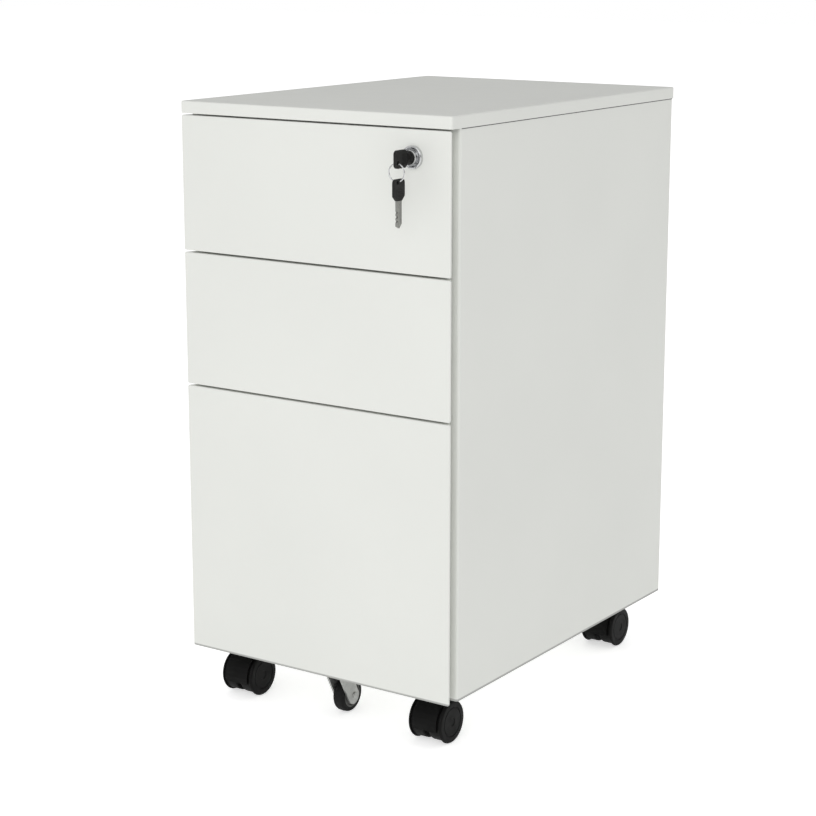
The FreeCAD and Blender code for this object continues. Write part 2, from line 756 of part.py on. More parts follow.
def make_key_head(label, along):
    """Plastic grip with a hole near its free end; along is Y (in the lock) or Z (hanging)."""
    body = new_body(label)
    free = "(-eye_inset)"
    root = "(head_long - eye_inset)"
    outline = (
        (free, "eye_side - head_half"),
        ("%s - shoulder" % root, "eye_side - head_half"),
        (root, "eye_side - blade_half"),
        (root, "eye_side + blade_half"),
        ("%s - shoulder" % root, "eye_side + head_half"),
        (free, "eye_side + head_half"),
    )
    if along == "Z":
        outline = [(v, "-(%s)" % u) for u, v in outline]
    half = "head_thick/2"
    add_pad(body, "YZ_Plane", [outline], "-" + half, half)
    for edge in ("head_half + eye_side", "head_half - eye_side"):
        if along == "Z":
            add_fillet(body, "head_round", edge_at(y=edge, z="eye_inset"))
        else:
            add_fillet(body, "head_round", edge_at(y="eye_inset", z=edge))
    add_pocket(body, "YZ_Plane", [(("0", "0"), "eye")], "-" + half, half)
    keep(body, label)
    return body


def make_key_blade(label, along):
    """Flat blade with a pointed tip and cuts along one edge."""
    body = new_body(label)
    root = "(head_long - eye_inset)"
    tip = "(%s + blade_long)" % root
    cuts = []
    for step in range(3):
        middle = "(%s + blade_long*(0.42 + 0.16*%d))" % (root, step)
        cuts.append(("%s - blade_bite" % middle, "eye_side - blade_half"))
        cuts.append((middle, "eye_side - blade_half + blade_bite*(1 + 0.3*%d)" % (step % 2)))
        cuts.append(("%s + blade_bite" % middle, "eye_side - blade_half"))
    outline = [(root, "eye_side - blade_half")]
    outline += cuts
    outline += [
        ("%s - blade_half/2" % tip, "eye_side - blade_half"),
        (tip, "eye_side"),
        ("%s - blade_half" % tip, "eye_side + blade_half"),
        (root, "eye_side + blade_half"),
    ]
    if along == "Z":
        outline = [(v, "-(%s)" % u) for u, v in outline]
    add_pad(body, "YZ_Plane", [outline], "-blade_thick/2", "blade_thick/2")
    keep(body, label)
    return body


def make_keys():
    """One key in the plug, a split ring through its eye, and a second key hanging from the ring."""
    eye_y = "(%s - plug_nose - head_gap - head_long + eye_inset)" % FRONT
    drop = "(eye - wire - hang_play)"
    eye_level = "(lock_level - eye_side)"
    ring_level = "(%s - %s - ring_radius)" % (eye_level, drop)
    hanging_level = "(%s - ring_radius - %s)" % (ring_level, drop)
    place(make_key_head("key_1_head", "Y"), "lock_across", eye_y, eye_level)
    place(make_key_blade("key_1_blade", "Y"), "lock_across", eye_y, eye_level)
    place(make_key_head("key_2_head", "Z"), "lock_across", eye_y, hanging_level)
    place(make_key_blade("key_2_blade", "Z"), "lock_across", eye_y, hanging_level)
    ring = doc.addObject("Part::Torus", "KeyRing")
    bind(ring, "Radius1", "ring_radius")
    bind(ring, "Radius2", "wire")
    ring.Placement.Rotation = FreeCAD.Rotation(FreeCAD.Vector(1, 0, 0), 90)
    keep(place(ring, "lock_across", eye_y, ring_level), "key_ring")


# ---------------------------------------------------------------- fifth wheel


def leg_point(forward, up):
    """A point at distances ahead of the axle and up along the leaning leg."""
    return (
        "(%s + tip_axle_back - (%s)*cos(fork_lean) - (%s)*sin(fork_lean))"
        % (FLANGE_FACE, forward, up),
        "(%s - (%s)*sin(fork_lean) + (%s)*cos(fork_lean))" % (TIP_AXLE_LEVEL, forward, up),
    )


def make_fork():
    """Bent steel fork under the file tray, its legs leaning forward."""
    body = new_body("tip_wheel_fork")
    top = DRAWERS[2].tray_low
    under = "(%s - fork_wall)" % top
    front = "(%s + fork_front)" % FLANGE_FACE
    rear = "(%s + fork_length)" % front
    ahead = "(fork_ahead + fork_end)"
    behind = "(fork_ahead - fork_end)"
    plate = box_points("-fork_half", "fork_half", front, rear)
    add_pad(body, "XY_Plane", [plate], under, top)
    knee = "((tip_axle_back - fork_front - %s*cos(fork_lean))/sin(fork_lean))" % ahead
    root = "((%s - %s + %s*sin(fork_lean))/cos(fork_lean))" % (under, TIP_AXLE_LEVEL, behind)
    toe = leg_point(ahead, "-fork_end")
    heel = leg_point(behind, "-fork_end")
    leg = ((front, under), leg_point(behind, root), heel, toe, leg_point(ahead, knee))
    for low, high in (("-fork_half", "-fork_half + fork_wall"), ("fork_half - fork_wall", "fork_half")):
        add_pad(body, "YZ_Plane", [leg], low, high)
    for corner in (toe, heel):
        add_fillet(body, "0.96*fork_end", edge_along_x(corner[1]))
    bore = (leg_point("0", "0"), "pin_radius")
    add_pocket(body, "YZ_Plane", [bore], "-fork_half", "fork_half")
    keep(body, "tip_wheel_fork")


def edge_along_x(level):
    """A test for short edges along X at a level."""

    def chosen(edge):
        box = edge.BoundBox
        flat = max(abs(box.ZMin - value(level)), abs(box.ZMax - value(level)), box.YLength)
        return flat < TOLERANCE and box.XLength > TOLERANCE

    return chosen


def make_tip_wheel():
    """Tyre and hub turning on a riveted axle."""
    spot = ("0", "(%s + tip_axle_back)" % FLANGE_FACE, TIP_AXLE_LEVEL)
    tyre = new_body("tip_wheel_tyre")
    section = box_points("-tip_half", "tip_half", "tip_hub", "tip_radius")
    add_turning(tyre, "XZ_Plane", section, "H_Axis")
    for across in ("tip_half", "-tip_half"):
        add_fillet(tyre, "tip_crown", rim_at(across, "tip_radius"))
    keep(place(tyre, *spot), "tip_wheel_tyre")

    hub = new_body("tip_wheel_hub")
    bore = "(pin_radius + pin_play)"
    section = (
        ("-tip_boss_half", bore),
        ("-tip_boss_half", "tip_boss"),
        ("-tip_half", "tip_boss"),
        ("-tip_half", "tip_hub"),
        ("tip_half", "tip_hub"),
        ("tip_half", "tip_boss"),
        ("tip_boss_half", "tip_boss"),
        ("tip_boss_half", bore),
    )
    add_turning(hub, "XZ_Plane", section, "H_Axis")
    keep(place(hub, *spot), "tip_wheel_hub")

    axle = new_body("tip_wheel_axle")
    end = "(fork_half + rivet_thick)"
    section = (
        ("-" + end, "0"),
        ("-" + end, "rivet_radius"),
        ("-fork_half", "rivet_radius"),
        ("-fork_half", "pin_radius"),
        ("fork_half", "pin_radius"),
        ("fork_half", "rivet_radius"),
        (end, "rivet_radius"),
        (end, "0"),
    )
    add_turning(axle, "XZ_Plane", section, "H_Axis")
    for across in (end, "-" + end):
        add_fillet(axle, "0.7*rivet_thick", rim_at(across, "rivet_radius"))
    keep(place(axle, *spot), "tip_wheel_axle")


# ---------------------------------------------------------------- casters


def make_caster_mount(name, across, back):
    """Square plate under the base panel with a fixed pivot pin."""
    body = new_body("caster_mount_" + name)
    top = BASE_UNDER
    under = "(%s - plate_thick)" % top
    plate = box_points("-plate_half", "plate_half", "-plate_half", "plate_half")
    add_pad(body, "XY_Plane", [plate], under, top)
    add_fillet(body, "plate_round", edge_at(x="plate_half", y="plate_half"))
    pin = (("0", "0"), "pivot_radius")
    add_pad(body, "XY_Plane", [pin], "head_low + fit_gap", top)
    keep(place(body, across, back), "caster_mount_" + name)


def make_caster_hood(name, across, back):
    """Swivelling nylon frame: head round the pivot, web between the wheels, fender over them."""
    body = new_body("caster_hood_" + name)
    add_pad(body, "XY_Plane", [(("0", "0"), "head_radius")], "head_low", "head_top")
    web = [
        ("-trail - web_radius", "wheel_radius"),
        ("-trail - 0.7*web_radius", "wheel_radius - 0.7*web_radius"),
        ("-trail", "wheel_radius - web_radius"),
        ("-trail + 0.7*web_radius", "wheel_radius - 0.7*web_radius"),
        ("head_radius", "wheel_radius + 0.5*web_radius"),
        ("head_radius", "head_top"),
        ("-head_radius", "head_top"),
    ]
    web += arc_points("(tread_radius + fender_gap + fender_wall/2)", (75, 95, 115, 135, 155))
    add_pad(body, "YZ_Plane", [web], "-web_half", "web_half")
    add_fender(body)
    bore = (("0", "0"), "pivot_radius + pin_play")
    add_pocket(body, "XY_Plane", [bore], "head_low", "head_top")
    axle_hole = (("-trail", "wheel_radius"), "pin_radius")
    add_pocket(body, "YZ_Plane", [axle_hole], "-web_half", "web_half")
    keep(place(body, across, back), "caster_hood_" + name)


def arc_points(radius, turns):
    """Points round the wheels' axle at angles up from +Y."""
    return [
        ("-trail + %s*cos(%d)" % (radius, turn), "wheel_radius + %s*sin(%d)" % (radius, turn))
        for turn in turns
    ]


def add_fender(body):
    """Curved cover over the wheels, from a low lip on the far side from the pivot over the top."""
    inner = "(tread_radius + fender_gap)"
    outer = "(tread_radius + fender_gap + fender_wall)"
    turns = [195 - 15 * step for step in range(10)]
    points = arc_points(outer, turns) + arc_points(inner, reversed(turns))
    add_pad(body, "YZ_Plane", [points], "-fender_half", "fender_half")


def make_caster_axle(name, across, back):
    """Steel pin through the web that carries both wheels."""
    body = new_body("caster_axle_" + name)
    add_pad(body, "YZ_Plane", [(("0", "0"), "pin_radius")], "-axle_half", "axle_half")
    keep(place(body, across, "%s - trail" % back, "wheel_radius"), "caster_axle_" + name)


def make_caster_wheel(label, side, across, back):
    """Wheel whose outer disc stands proud of the part that runs under the fender."""
    body = new_body(label)
    bore = "(pin_radius + pin_play)"
    section = (
        ("wheel_inner", bore),
        ("wheel_inner", "tread_radius"),
        ("disc_inner", "tread_radius"),
        ("disc_inner", "wheel_radius"),
        ("wheel_outer", "wheel_radius"),
        ("wheel_outer", "0"),
        ("hub_depth", "0"),
        ("hub_depth", bore),
    )
    points = [(mirrored(side, "(%s)" % u), v) for u, v in section]
    add_turning(body, "XZ_Plane", points, "H_Axis")
    add_fillet(body, "edge_round", rim_at(mirrored(side, "wheel_inner"), "tread_radius"))
    add_fillet(body, "rim_round", rim_at(mirrored(side, "wheel_outer"), "wheel_radius"))
    keep(place(body, across, "%s - trail" % back, "wheel_radius"), label)


def make_casters():
    spots = [
        ("%s_%s" % (end, name), mirrored(side, "caster_across"), back)
        for end, back in (("front", "-caster_front"), ("rear", "caster_rear"))
        for name, side in LEFT_AND_RIGHT
    ]
    for name, across, back in spots:
        make_caster_mount(name, across, back)
        make_caster_hood(name, across, back)
        make_caster_axle(name, across, back)
        for wheel, side in LEFT_AND_RIGHT:
            make_caster_wheel("caster_%s_wheel_%s" % (name, wheel), side, across, back)
    make_screws(spots)


def make_screws(spots):
    """Screw heads that hold the caster plates, four to a plate."""
    heads = []
    for name, across, back in spots:
        for corner in range(4):
            turn_x = 1 if corner in (0, 1) else -1
            turn_y = 1 if corner in (0, 2) else -1
            head = doc.addObject("Part::Cylinder", "Screw_%s_%d" % (name, corner))
            bind(head, "Radius", "screw_radius")
            bind(head, "Height", "screw_thick")
            place(
                head,
                "%s + %d*screw_offset" % (across, turn_x),
                "%s + %d*screw_offset" % (back, turn_y),
                "%s - plate_thick - screw_thick" % BASE_UNDER,
            )
            heads.append(head)
    group("caster_screws", heads)


# ---------------------------------------------------------------- build and write


def build():
    make_top_panel()
    for name, side in LEFT_AND_RIGHT:
        make_side_panel(name, side)
        make_uprights(name, side)
    make_back_panel()
    make_base_panel()
    make_top_rail()
    for unit in DRAWERS:
        make_slides(unit)
        make_drawer_front(unit)
        make_tray(unit)
    make_hanging_rails()
    make_lock_housing()
    make_lock_bezel()
    make_lock_nut()
    make_lock_plug()
    make_lock_cam()
    make_lock_bar()
    make_keys()
    make_fork()
    make_tip_wheel()
    make_casters()


def check():
    """Stop if any object failed or any sub-part has no sound shape."""
    doc.recompute()
    for thing in doc.Objects:
        if "Invalid" in thing.State or "Error" in thing.State:
            raise RuntimeError("%s failed: %s" % (thing.Name, thing.State))
    for node in nodes:
        if node.Shape.isNull() or not node.Shape.isValid() or not node.Shape.Solids:
            raise RuntimeError("%s has no sound shape" % node.Label)


def write():
    os.makedirs("parts", exist_ok=True)
    for node in nodes:
        node.Shape.exportStep(os.path.join("parts", node.Label + ".step"))
    print("%d sub-parts written" % len(nodes))


build()
check()
write()
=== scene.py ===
import json
import math

import bmesh
import bpy
from bpy.props import FloatProperty, FloatVectorProperty, IntProperty, PointerProperty
from mathutils import Matrix, Vector


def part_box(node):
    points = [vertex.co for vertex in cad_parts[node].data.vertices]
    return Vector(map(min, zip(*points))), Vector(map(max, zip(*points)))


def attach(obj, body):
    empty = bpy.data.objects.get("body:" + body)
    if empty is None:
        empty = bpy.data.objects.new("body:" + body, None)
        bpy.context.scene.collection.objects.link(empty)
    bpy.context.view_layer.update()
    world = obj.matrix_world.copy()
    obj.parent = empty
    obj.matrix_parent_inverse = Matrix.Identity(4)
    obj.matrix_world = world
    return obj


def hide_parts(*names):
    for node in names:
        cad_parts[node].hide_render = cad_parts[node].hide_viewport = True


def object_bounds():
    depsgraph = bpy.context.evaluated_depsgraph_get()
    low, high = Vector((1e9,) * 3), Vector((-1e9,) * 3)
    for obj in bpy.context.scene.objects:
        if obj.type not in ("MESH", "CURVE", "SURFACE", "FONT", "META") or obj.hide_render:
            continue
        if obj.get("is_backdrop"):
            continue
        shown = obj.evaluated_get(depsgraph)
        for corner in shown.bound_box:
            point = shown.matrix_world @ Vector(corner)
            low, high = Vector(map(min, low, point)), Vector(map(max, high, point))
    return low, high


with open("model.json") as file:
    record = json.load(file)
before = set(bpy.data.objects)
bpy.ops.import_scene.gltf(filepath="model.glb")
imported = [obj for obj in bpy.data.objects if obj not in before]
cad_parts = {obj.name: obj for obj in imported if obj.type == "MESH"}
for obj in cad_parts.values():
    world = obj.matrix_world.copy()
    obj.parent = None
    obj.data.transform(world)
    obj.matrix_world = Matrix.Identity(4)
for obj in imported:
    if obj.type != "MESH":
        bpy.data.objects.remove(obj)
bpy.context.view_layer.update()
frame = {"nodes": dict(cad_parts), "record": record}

bl_info = {
    "name": "Rolling pedestal cabinet",
    "version": (1, 0, 0),
    "blender": (4, 5, 0),
    "location": "View3D > Sidebar > Pedestal",
    "description": "Finishes and small parts for a steel drawer pedestal on casters",
    "category": "Object",
}

MM = 0.001
AXLE_BORE = 2.55 * MM
# Painted shade along a panel's lowest edge, standing in for the shade on its turned-under foot: where the
# painted shade begins and ends, and how dark it is.
PAINTED_SHADE_FROM = 1.4 * MM
PAINTED_SHADE_TO = 2.6 * MM
PAINTED_SHADE_LEVEL = 0.5
LEFT_AND_RIGHT = (("left", -1), ("right", 1))
# Grey levels of the room by height, as (height, level): 0 straight down, 1 straight up.
DIFFUSE_ROOM = ((0.0, 1.0), (0.62, 1.0), (0.8, 0.93), (1.0, 0.78))
REFLECTED_ROOM = ((0.0, 0.75), (0.42, 0.5), (0.5, 0.02), (0.6, 0.05), (0.68, 1.2), (1.0, 0.75))
CASTERS = [end + "_" + side for end in ("front", "rear") for side in ("left", "right")]


# ---------------------------------------------------------------- settings


class PaintSettings(bpy.types.PropertyGroup):
    """Powder coat of the panels, drawers and trays."""

    colour: FloatVectorProperty(
        name="Colour",
        description="Colour of the powder coat",
        subtype="COLOR",
        size=3,
        min=0.0,
        max=1.0,
        default=(0.735, 0.745, 0.71),
    )
    roughness: FloatProperty(
        name="Roughness",
        description="How matt the powder coat is",
        subtype="FACTOR",
        min=0.0,
        max=1.0,
        default=0.46,
    )
    peel_size: FloatProperty(
        name="Peel size",
        description="Width of one dimple of the orange peel",
        subtype="DISTANCE",
        unit="LENGTH",
        default=0.0016,
    )
    peel_depth: FloatProperty(
        name="Peel depth",
        description="Depth of the orange peel",
        subtype="DISTANCE",
        unit="LENGTH",
        default=0.00003,
    )
    edge: FloatProperty(
        name="Edge radius",
        description="Radius of the coat over the cut edges of the sheet",
        subtype="DISTANCE",
        unit="LENGTH",
        default=0.00035,
    )


class LockSettings(bpy.types.PropertyGroup):
    """Lock, keys and key ring."""

    dish: FloatProperty(
        name="Dish",
        description="How deep the bezel's face is dished",
        subtype="DISTANCE",
        unit="LENGTH",
        default=0.0021,
    )
    ring_coils: IntProperty(
        name="Ring coils",
        description="How many times the wire of the key ring goes round",
        default=2,
        min=1,
        max=3,
    )
    wire: FloatProperty(
        name="Wire",
        description="Height of the flat wire of the key ring",
        subtype="DISTANCE",
        unit="LENGTH",
        default=0.0011,
    )
    groove: FloatProperty(
        name="Blade groove",
        description="Depth of the groove milled along a key's blade",
        subtype="DISTANCE",
        unit="LENGTH",
        default=0.0004,
    )


class WheelSettings(bpy.types.PropertyGroup):
    """Caster wheels and the fifth wheel."""

    colour: FloatVectorProperty(
        name="Colour",
        description="Colour of the moulded wheels",
        subtype="COLOR",
        size=3,
        min=0.0,
        max=1.0,
        default=(0.005, 0.005, 0.0048),
    )
    segments: IntProperty(
        name="Segments",
        description="Steps round a wheel",
        default=96,
        min=24,
        max=192,
    )
    groove: FloatProperty(
        name="Cover groove",
        description="Depth of the groove between a wheel's tread and its cover",
        subtype="DISTANCE",
        unit="LENGTH",
        default=0.0006,
    )


class StageSettings(bpy.types.PropertyGroup):
    """Camera, floor and lights."""

    azimuth: FloatProperty(
        name="Azimuth",
        description="Camera to the right of straight in front",
        subtype="ANGLE",
        default=math.radians(34.156),
    )
    elevation: FloatProperty(
        name="Elevation",
        description="Camera above the horizon",
        subtype="ANGLE",
        default=math.radians(12.664),
    )
    distance: FloatProperty(
        name="Distance",
        description="Camera to the middle of the cabinet",
        subtype="DISTANCE",
        unit="LENGTH",
        default=2.0,
    )
    lens: FloatProperty(
        name="Focal length",
        description="Focal length in millimetres on a 36 mm sensor",
        default=90.875,
    )
    raise_view: FloatProperty(
        name="Vertical shift",
        description="Lens shift as a share of the width",
        default=-0.01566,
    )
    aim: FloatVectorProperty(
        name="Aim",
        description="Point looked at, from the middle of the top panel",
        subtype="TRANSLATION",
        unit="LENGTH",
        size=3,
        default=(0.00748, -0.06224, -0.28091),
    )
    floor_colour: FloatVectorProperty(
        name="Floor",
        description="Colour of the floor",
        subtype="COLOR",
        size=3,
        min=0.0,
        max=1.0,
        default=(0.86, 0.86, 0.86),
    )
    floor_glow: FloatProperty(
        name="Floor glow",
        description="Light that the floor gives off, like a lit white sweep",
        default=0.34,
    )
    floor_white: FloatProperty(
        name="Floor white",
        description="The same light as the camera sees it",
        default=0.56,
    )
    sky: FloatProperty(
        name="Room light",
        description="Brightness of the even light from all round",
        default=0.79,
    )
    key: FloatProperty(
        name="Key light",
        description="Power of the soft light in front",
        unit="POWER",
        default=14.6,
    )


# ---------------------------------------------------------------- materials


def new_material(name, colour, roughness, metallic=0.0, specular=0.5):
    material = bpy.data.materials.new(name)
    material.use_nodes = True
    shader = material.node_tree.nodes["Principled BSDF"]
    shader.inputs["Base Color"].default_value = (*colour, 1.0)
    shader.inputs["Roughness"].default_value = roughness
    shader.inputs["Metallic"].default_value = metallic
    shader.inputs["Specular IOR Level"].default_value = specular
    return material


def shader_of(material):
    return material.node_tree.nodes["Principled BSDF"]


def add_noise(material, size, detail=2.0, stretch=(1.0, 1.0, 1.0)):
    """Noise with features of a given size in metres, fixed to the piece."""
    tree = material.node_tree
    place = tree.nodes.new("ShaderNodeTexCoord")
    mapping = tree.nodes.new("ShaderNodeMapping")
    mapping.inputs["Scale"].default_value = stretch
    noise = tree.nodes.new("ShaderNodeTexNoise")
    noise.inputs["Scale"].default_value = 1.0 / size
    noise.inputs["Detail"].default_value = detail
    tree.links.new(place.outputs["Object"], mapping.inputs["Vector"])
    tree.links.new(mapping.outputs["Vector"], noise.inputs["Vector"])
    return noise.outputs["Fac"]


def add_bump(material, height, depth, strength=1.0):
    """Turn a 0 to 1 pattern into relief of a given depth."""
    tree = material.node_tree
    bump = tree.nodes.new("ShaderNodeBump")
    bump.inputs["Strength"].default_value = strength
    bump.inputs["Distance"].default_value = depth
    tree.links.new(height, bump.inputs["Height"])
    shader = shader_of(material)
    if shader.inputs["Normal"].is_linked:
        before = shader.inputs["Normal"].links[0].from_socket
        tree.links.new(before, bump.inputs["Normal"])
    tree.links.new(bump.outputs["Normal"], shader.inputs["Normal"])


def vary(material, socket, pattern, low, high):
    """Drive a shader socket from a pattern, between two values or two colours."""
    tree = material.node_tree
    ramp = tree.nodes.new("ShaderNodeValToRGB")
    ramp.color_ramp.elements[0].position = 0.3
    ramp.color_ramp.elements[1].position = 0.7
    for element, level in zip(ramp.color_ramp.elements, (low, high)):
        colour = level if isinstance(level, tuple) else (level, level, level)
        element.color = (*colour, 1.0)
    tree.links.new(pattern, ramp.inputs["Fac"])
    tree.links.new(ramp.outputs["Color"], shader_of(material).inputs[socket])


def shade(colour, factor):
    return tuple(channel * factor for channel in colour)


def make_powder_coat(paint):
    """White powder coat: faint orange peel, and a slow drift of tone over a panel."""
    colour = tuple(paint.colour)
    material = new_material("white_powder_coat", colour, paint.roughness)
    vary(material, "Base Color", add_noise(material, 0.16, 3.0), shade(colour, 0.985), shade(colour, 1.012))
    peel = add_noise(material, paint.peel_size, 1.0)
    vary(material, "Roughness", add_noise(material, 0.02), paint.roughness - 0.03, paint.roughness + 0.03)
    add_bump(material, peel, paint.peel_depth)
    add_bump(material, add_noise(material, paint.peel_size / 5, 0.0), paint.peel_depth / 6)
    return material


def make_powder_coat_with_painted_foot_shade(paint, foot):
    """The same coat with painted shade along a panel's lowest edge, standing in for the shade on its
    turned-under foot.
    """
    material = make_powder_coat(paint)
    material.name = "white_powder_coat_painted_foot_shade"
    tree = material.node_tree
    socket = shader_of(material).inputs["Base Color"]
    before = socket.links[0].from_socket
    place = tree.nodes.new("ShaderNodeTexCoord")
    parts = tree.nodes.new("ShaderNodeSeparateXYZ")
    # Painted shade: the base colour is halved at the very bottom and rises to full over a narrow band just
    # above it.
    span = tree.nodes.new("ShaderNodeMapRange")
    span.inputs["From Min"].default_value = foot + PAINTED_SHADE_FROM
    span.inputs["From Max"].default_value = foot + PAINTED_SHADE_TO
    span.inputs["To Min"].default_value = PAINTED_SHADE_LEVEL
    blend = tree.nodes.new("ShaderNodeVectorMath")
    blend.operation = "SCALE"
    tree.links.new(place.outputs["Object"], parts.inputs["Vector"])
    tree.links.new(parts.outputs["Z"], span.inputs["Value"])
    tree.links.new(before, blend.inputs[0])
    tree.links.new(span.outputs["Result"], blend.inputs["Scale"])
    tree.links.new(blend.outputs["Vector"], socket)
    return material


def make_zinc():
    """Bright zinc plate: rolled streaks and soft blotches."""
    colour = (0.56, 0.565, 0.56)
    material = new_material("zinc_plate", colour, 0.34, metallic=1.0)
    blotch = add_noise(material, 0.008, 3.0)
    vary(material, "Base Color", blotch, shade(colour, 0.86), shade(colour, 1.1))
    streak = add_noise(material, 0.004, 2.0, (14.0, 0.6, 14.0))
    vary(material, "Roughness", streak, 0.26, 0.44)
    add_bump(material, streak, 0.000012)
    return material


def make_fork_steel():
    """Satin nickel on pressed steel, tumbled smooth."""
    colour = (0.47, 0.475, 0.46)
    material = new_material("pressed_steel", colour, 0.42, metallic=0.85)
    tumble = add_noise(material, 0.0012, 3.0)
    vary(material, "Base Color", add_noise(material, 0.006), shade(colour, 0.9), shade(colour, 1.08))
    vary(material, "Roughness", tumble, 0.36, 0.5)
    add_bump(material, tumble, 0.00002)
    return material


def make_chrome():
    """Polished chrome with hairline scratches in its gloss."""
    colour = (0.62, 0.625, 0.63)
    material = new_material("polished_chrome", colour, 0.08, metallic=1.0)
    vary(material, "Roughness", add_noise(material, 0.0009, 4.0, (1.0, 9.0, 1.0)), 0.05, 0.16)
    vary(material, "Base Color", add_noise(material, 0.004), shade(colour, 0.96), colour)
    return material


def make_nickel():
    """Nickel-plated key blank, dulled by use along its cuts."""
    colour = (0.34, 0.34, 0.325)
    material = new_material("nickel_plate", colour, 0.3, metallic=1.0)
    scratch = add_noise(material, 0.0006, 4.0, (3.0, 3.0, 0.35))
    vary(material, "Roughness", scratch, 0.22, 0.42)
    vary(material, "Base Color", add_noise(material, 0.0022, 3.0), shade(colour, 0.84), shade(colour, 1.08))
    add_bump(material, scratch, 0.00001)
    return material


def make_plug_metal():
    """Black nickel, turned, so it shows fine rings."""
    colour = (0.03, 0.03, 0.03)
    material = new_material("black_nickel", colour, 0.3, metallic=0.4, specular=0.4)
    vary(material, "Roughness", add_noise(material, 0.0011, 3.0), 0.22, 0.4)
    vary(material, "Base Color", add_noise(material, 0.003), shade(colour, 0.7), shade(colour, 1.6))
    return material


def make_moulding(name, colour, roughness, grain, depth, specular=0.28):
    """Moulded nylon or plastic with a fine spark-eroded grain."""
    material = new_material(name, colour, roughness, specular=specular)
    pattern = add_noise(material, grain, 2.0)
    vary(material, "Roughness", add_noise(material, grain * 14), roughness - 0.06, roughness + 0.07)
    vary(material, "Base Color", add_noise(material, grain * 30), shade(colour, 0.85), shade(colour, 1.25))
    add_bump(material, pattern, depth)
    return material


def make_rubber(colour):
    """Soft black tyre with a dusty bloom."""
    material = new_material("tyre_rubber", colour, 0.72, specular=0.25)
    bloom = add_noise(material, 0.004, 4.0)
    vary(material, "Base Color", bloom, shade(colour, 0.9), shade(colour, 1.7))
    vary(material, "Roughness", bloom, 0.66, 0.8)
    add_bump(material, add_noise(material, 0.0005), 0.00003)
    return material


FINISHES = {}


def finish(name):
    """A finish by name, made the first time it is asked for."""
    if name not in FINISHES:
        scene = bpy.context.scene
        black = tuple(scene.pedestal_wheels.colour)
        makers = {
            "paint": lambda: make_powder_coat(scene.pedestal_paint),
            # Powder coat with painted shade along the lowest edge.
            "paint_with_painted_foot_shade": lambda: make_powder_coat_with_painted_foot_shade(
                scene.pedestal_paint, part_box("drawer_front_3")[0].z
            ),
            "zinc": make_zinc,
            "fork": make_fork_steel,
            "chrome": make_chrome,
            "nickel": make_nickel,
            "plug": make_plug_metal,
            "grip": lambda: make_moulding("key_grip", (0.016, 0.016, 0.0155), 0.5, 0.0005, 0.00003, 0.15),
            "nylon": lambda: make_moulding("black_nylon", black, 0.55, 0.0006, 0.00003, 0.1),
            "wheel": lambda: make_moulding("wheel_nylon", black, 0.5, 0.0008, 0.00003, 0.12),
            "hub": lambda: make_moulding("hub_plastic", (0.11, 0.11, 0.105), 0.5, 0.0006, 0.00003),
            "stop": lambda: make_moulding("stop_plastic", (0.05, 0.05, 0.052), 0.55, 0.0006, 0.00002),
            "tyre": lambda: make_rubber(black),
        }
        FINISHES[name] = makers[name]()
    return FINISHES[name]


# ---------------------------------------------------------------- mesh helpers


def dress(node, finish_name, edge=0.0, angle=55.0):
    """Give a carried-over CAD node its finish, and a small radius on its sharp edges."""
    thing = frame["nodes"][node]
    thing.data.materials.clear()
    thing.data.materials.append(finish(finish_name))
    if edge > 0.0:
        add_edge_round(thing, edge, angle)
    return thing


def add_edge_round(thing, width, angle=40.0, segments=2):
    rounding = thing.modifiers.new("edge", "BEVEL")
    rounding.width = width
    rounding.segments = segments
    rounding.limit_method = "ANGLE"
    rounding.angle_limit = math.radians(angle)
    rounding.harden_normals = True
    return rounding


def to_object(mesh_builder, name, smooth_angle=35.0):
    """A finished bmesh as an object in the scene, smooth but for its sharp edges."""
    bmesh.ops.recalc_face_normals(mesh_builder, faces=mesh_builder.faces)
    mesh = bpy.data.meshes.new(name)
    mesh_builder.to_mesh(mesh)
    mesh_builder.free()
    mesh.shade_smooth()
    mesh.set_sharp_from_angle(angle=math.radians(smooth_angle))
    thing = bpy.data.objects.new(name, mesh)
    bpy.context.scene.collection.objects.link(thing)
    return thing


def fit_piece(thing, body, finish_name, replaced=()):
    """Give a piece its finish, parent it to the body it rides on, and hide the CAD parts it replaces."""
    thing.data.materials.append(finish(finish_name))
    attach(thing, body)
    if replaced:
        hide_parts(*replaced)
    return thing


AXES = {
    "X": (Vector((1, 0, 0)), Vector((0, 1, 0)), Vector((0, 0, 1))),
    "Y": (Vector((0, 1, 0)), Vector((0, 0, 1)), Vector((1, 0, 0))),
    "Z": (Vector((0, 0, 1)), Vector((1, 0, 0)), Vector((0, 1, 0))),
}


def add_turned(builder, profile, axis, centre, segments):
    """Turn (along, radius) points round an axis; a radius of zero closes the end."""
    along, first, second = AXES[axis]
    rings = []
    for distance, radius in profile:
        middle = centre + along * distance
        if radius <= 0.0:
            rings.append([builder.verts.new(middle)])
            continue
        ring = []
        for step in range(segments):
            turn = 2 * math.pi * step / segments
            offset = (first * math.cos(turn) + second * math.sin(turn)) * radius
            ring.append(builder.verts.new(middle + offset))
        rings.append(ring)
    for start, end in zip(rings, rings[1:]):
        join_rings(builder, start, end)
    return rings


def join_rings(builder, start, end):
    """Skin between two rings of points, either of which may be a single point."""
    count = max(len(start), len(end))
    for step in range(count):
        following = (step + 1) % count
        corners = [start[step % len(start)], start[following % len(start)]]
        corners += [end[following % len(end)], end[step % len(end)]]
        unique = list(dict.fromkeys(corners))
        if len(unique) > 2:
            builder.faces.new(unique)


def turned(name, profile, axis, centre, segments, closed=False):
    """A turned piece; closed joins the profile's end to its start, as on a ring."""
    builder = bmesh.new()
    rings = add_turned(builder, profile, axis, centre, segments)
    if closed:
        join_rings(builder, rings[-1], rings[0])
    return to_object(builder, name)


def arc(centre, radius, start, end, steps):
    """Points along an arc, as (along, radius) pairs; angles in degrees."""
    points = []
    for step in range(steps + 1):
        turn = math.radians(start + (end - start) * step / steps)
        points.append((centre[0] + radius * math.cos(turn), centre[1] + radius * math.sin(turn)))
    return points


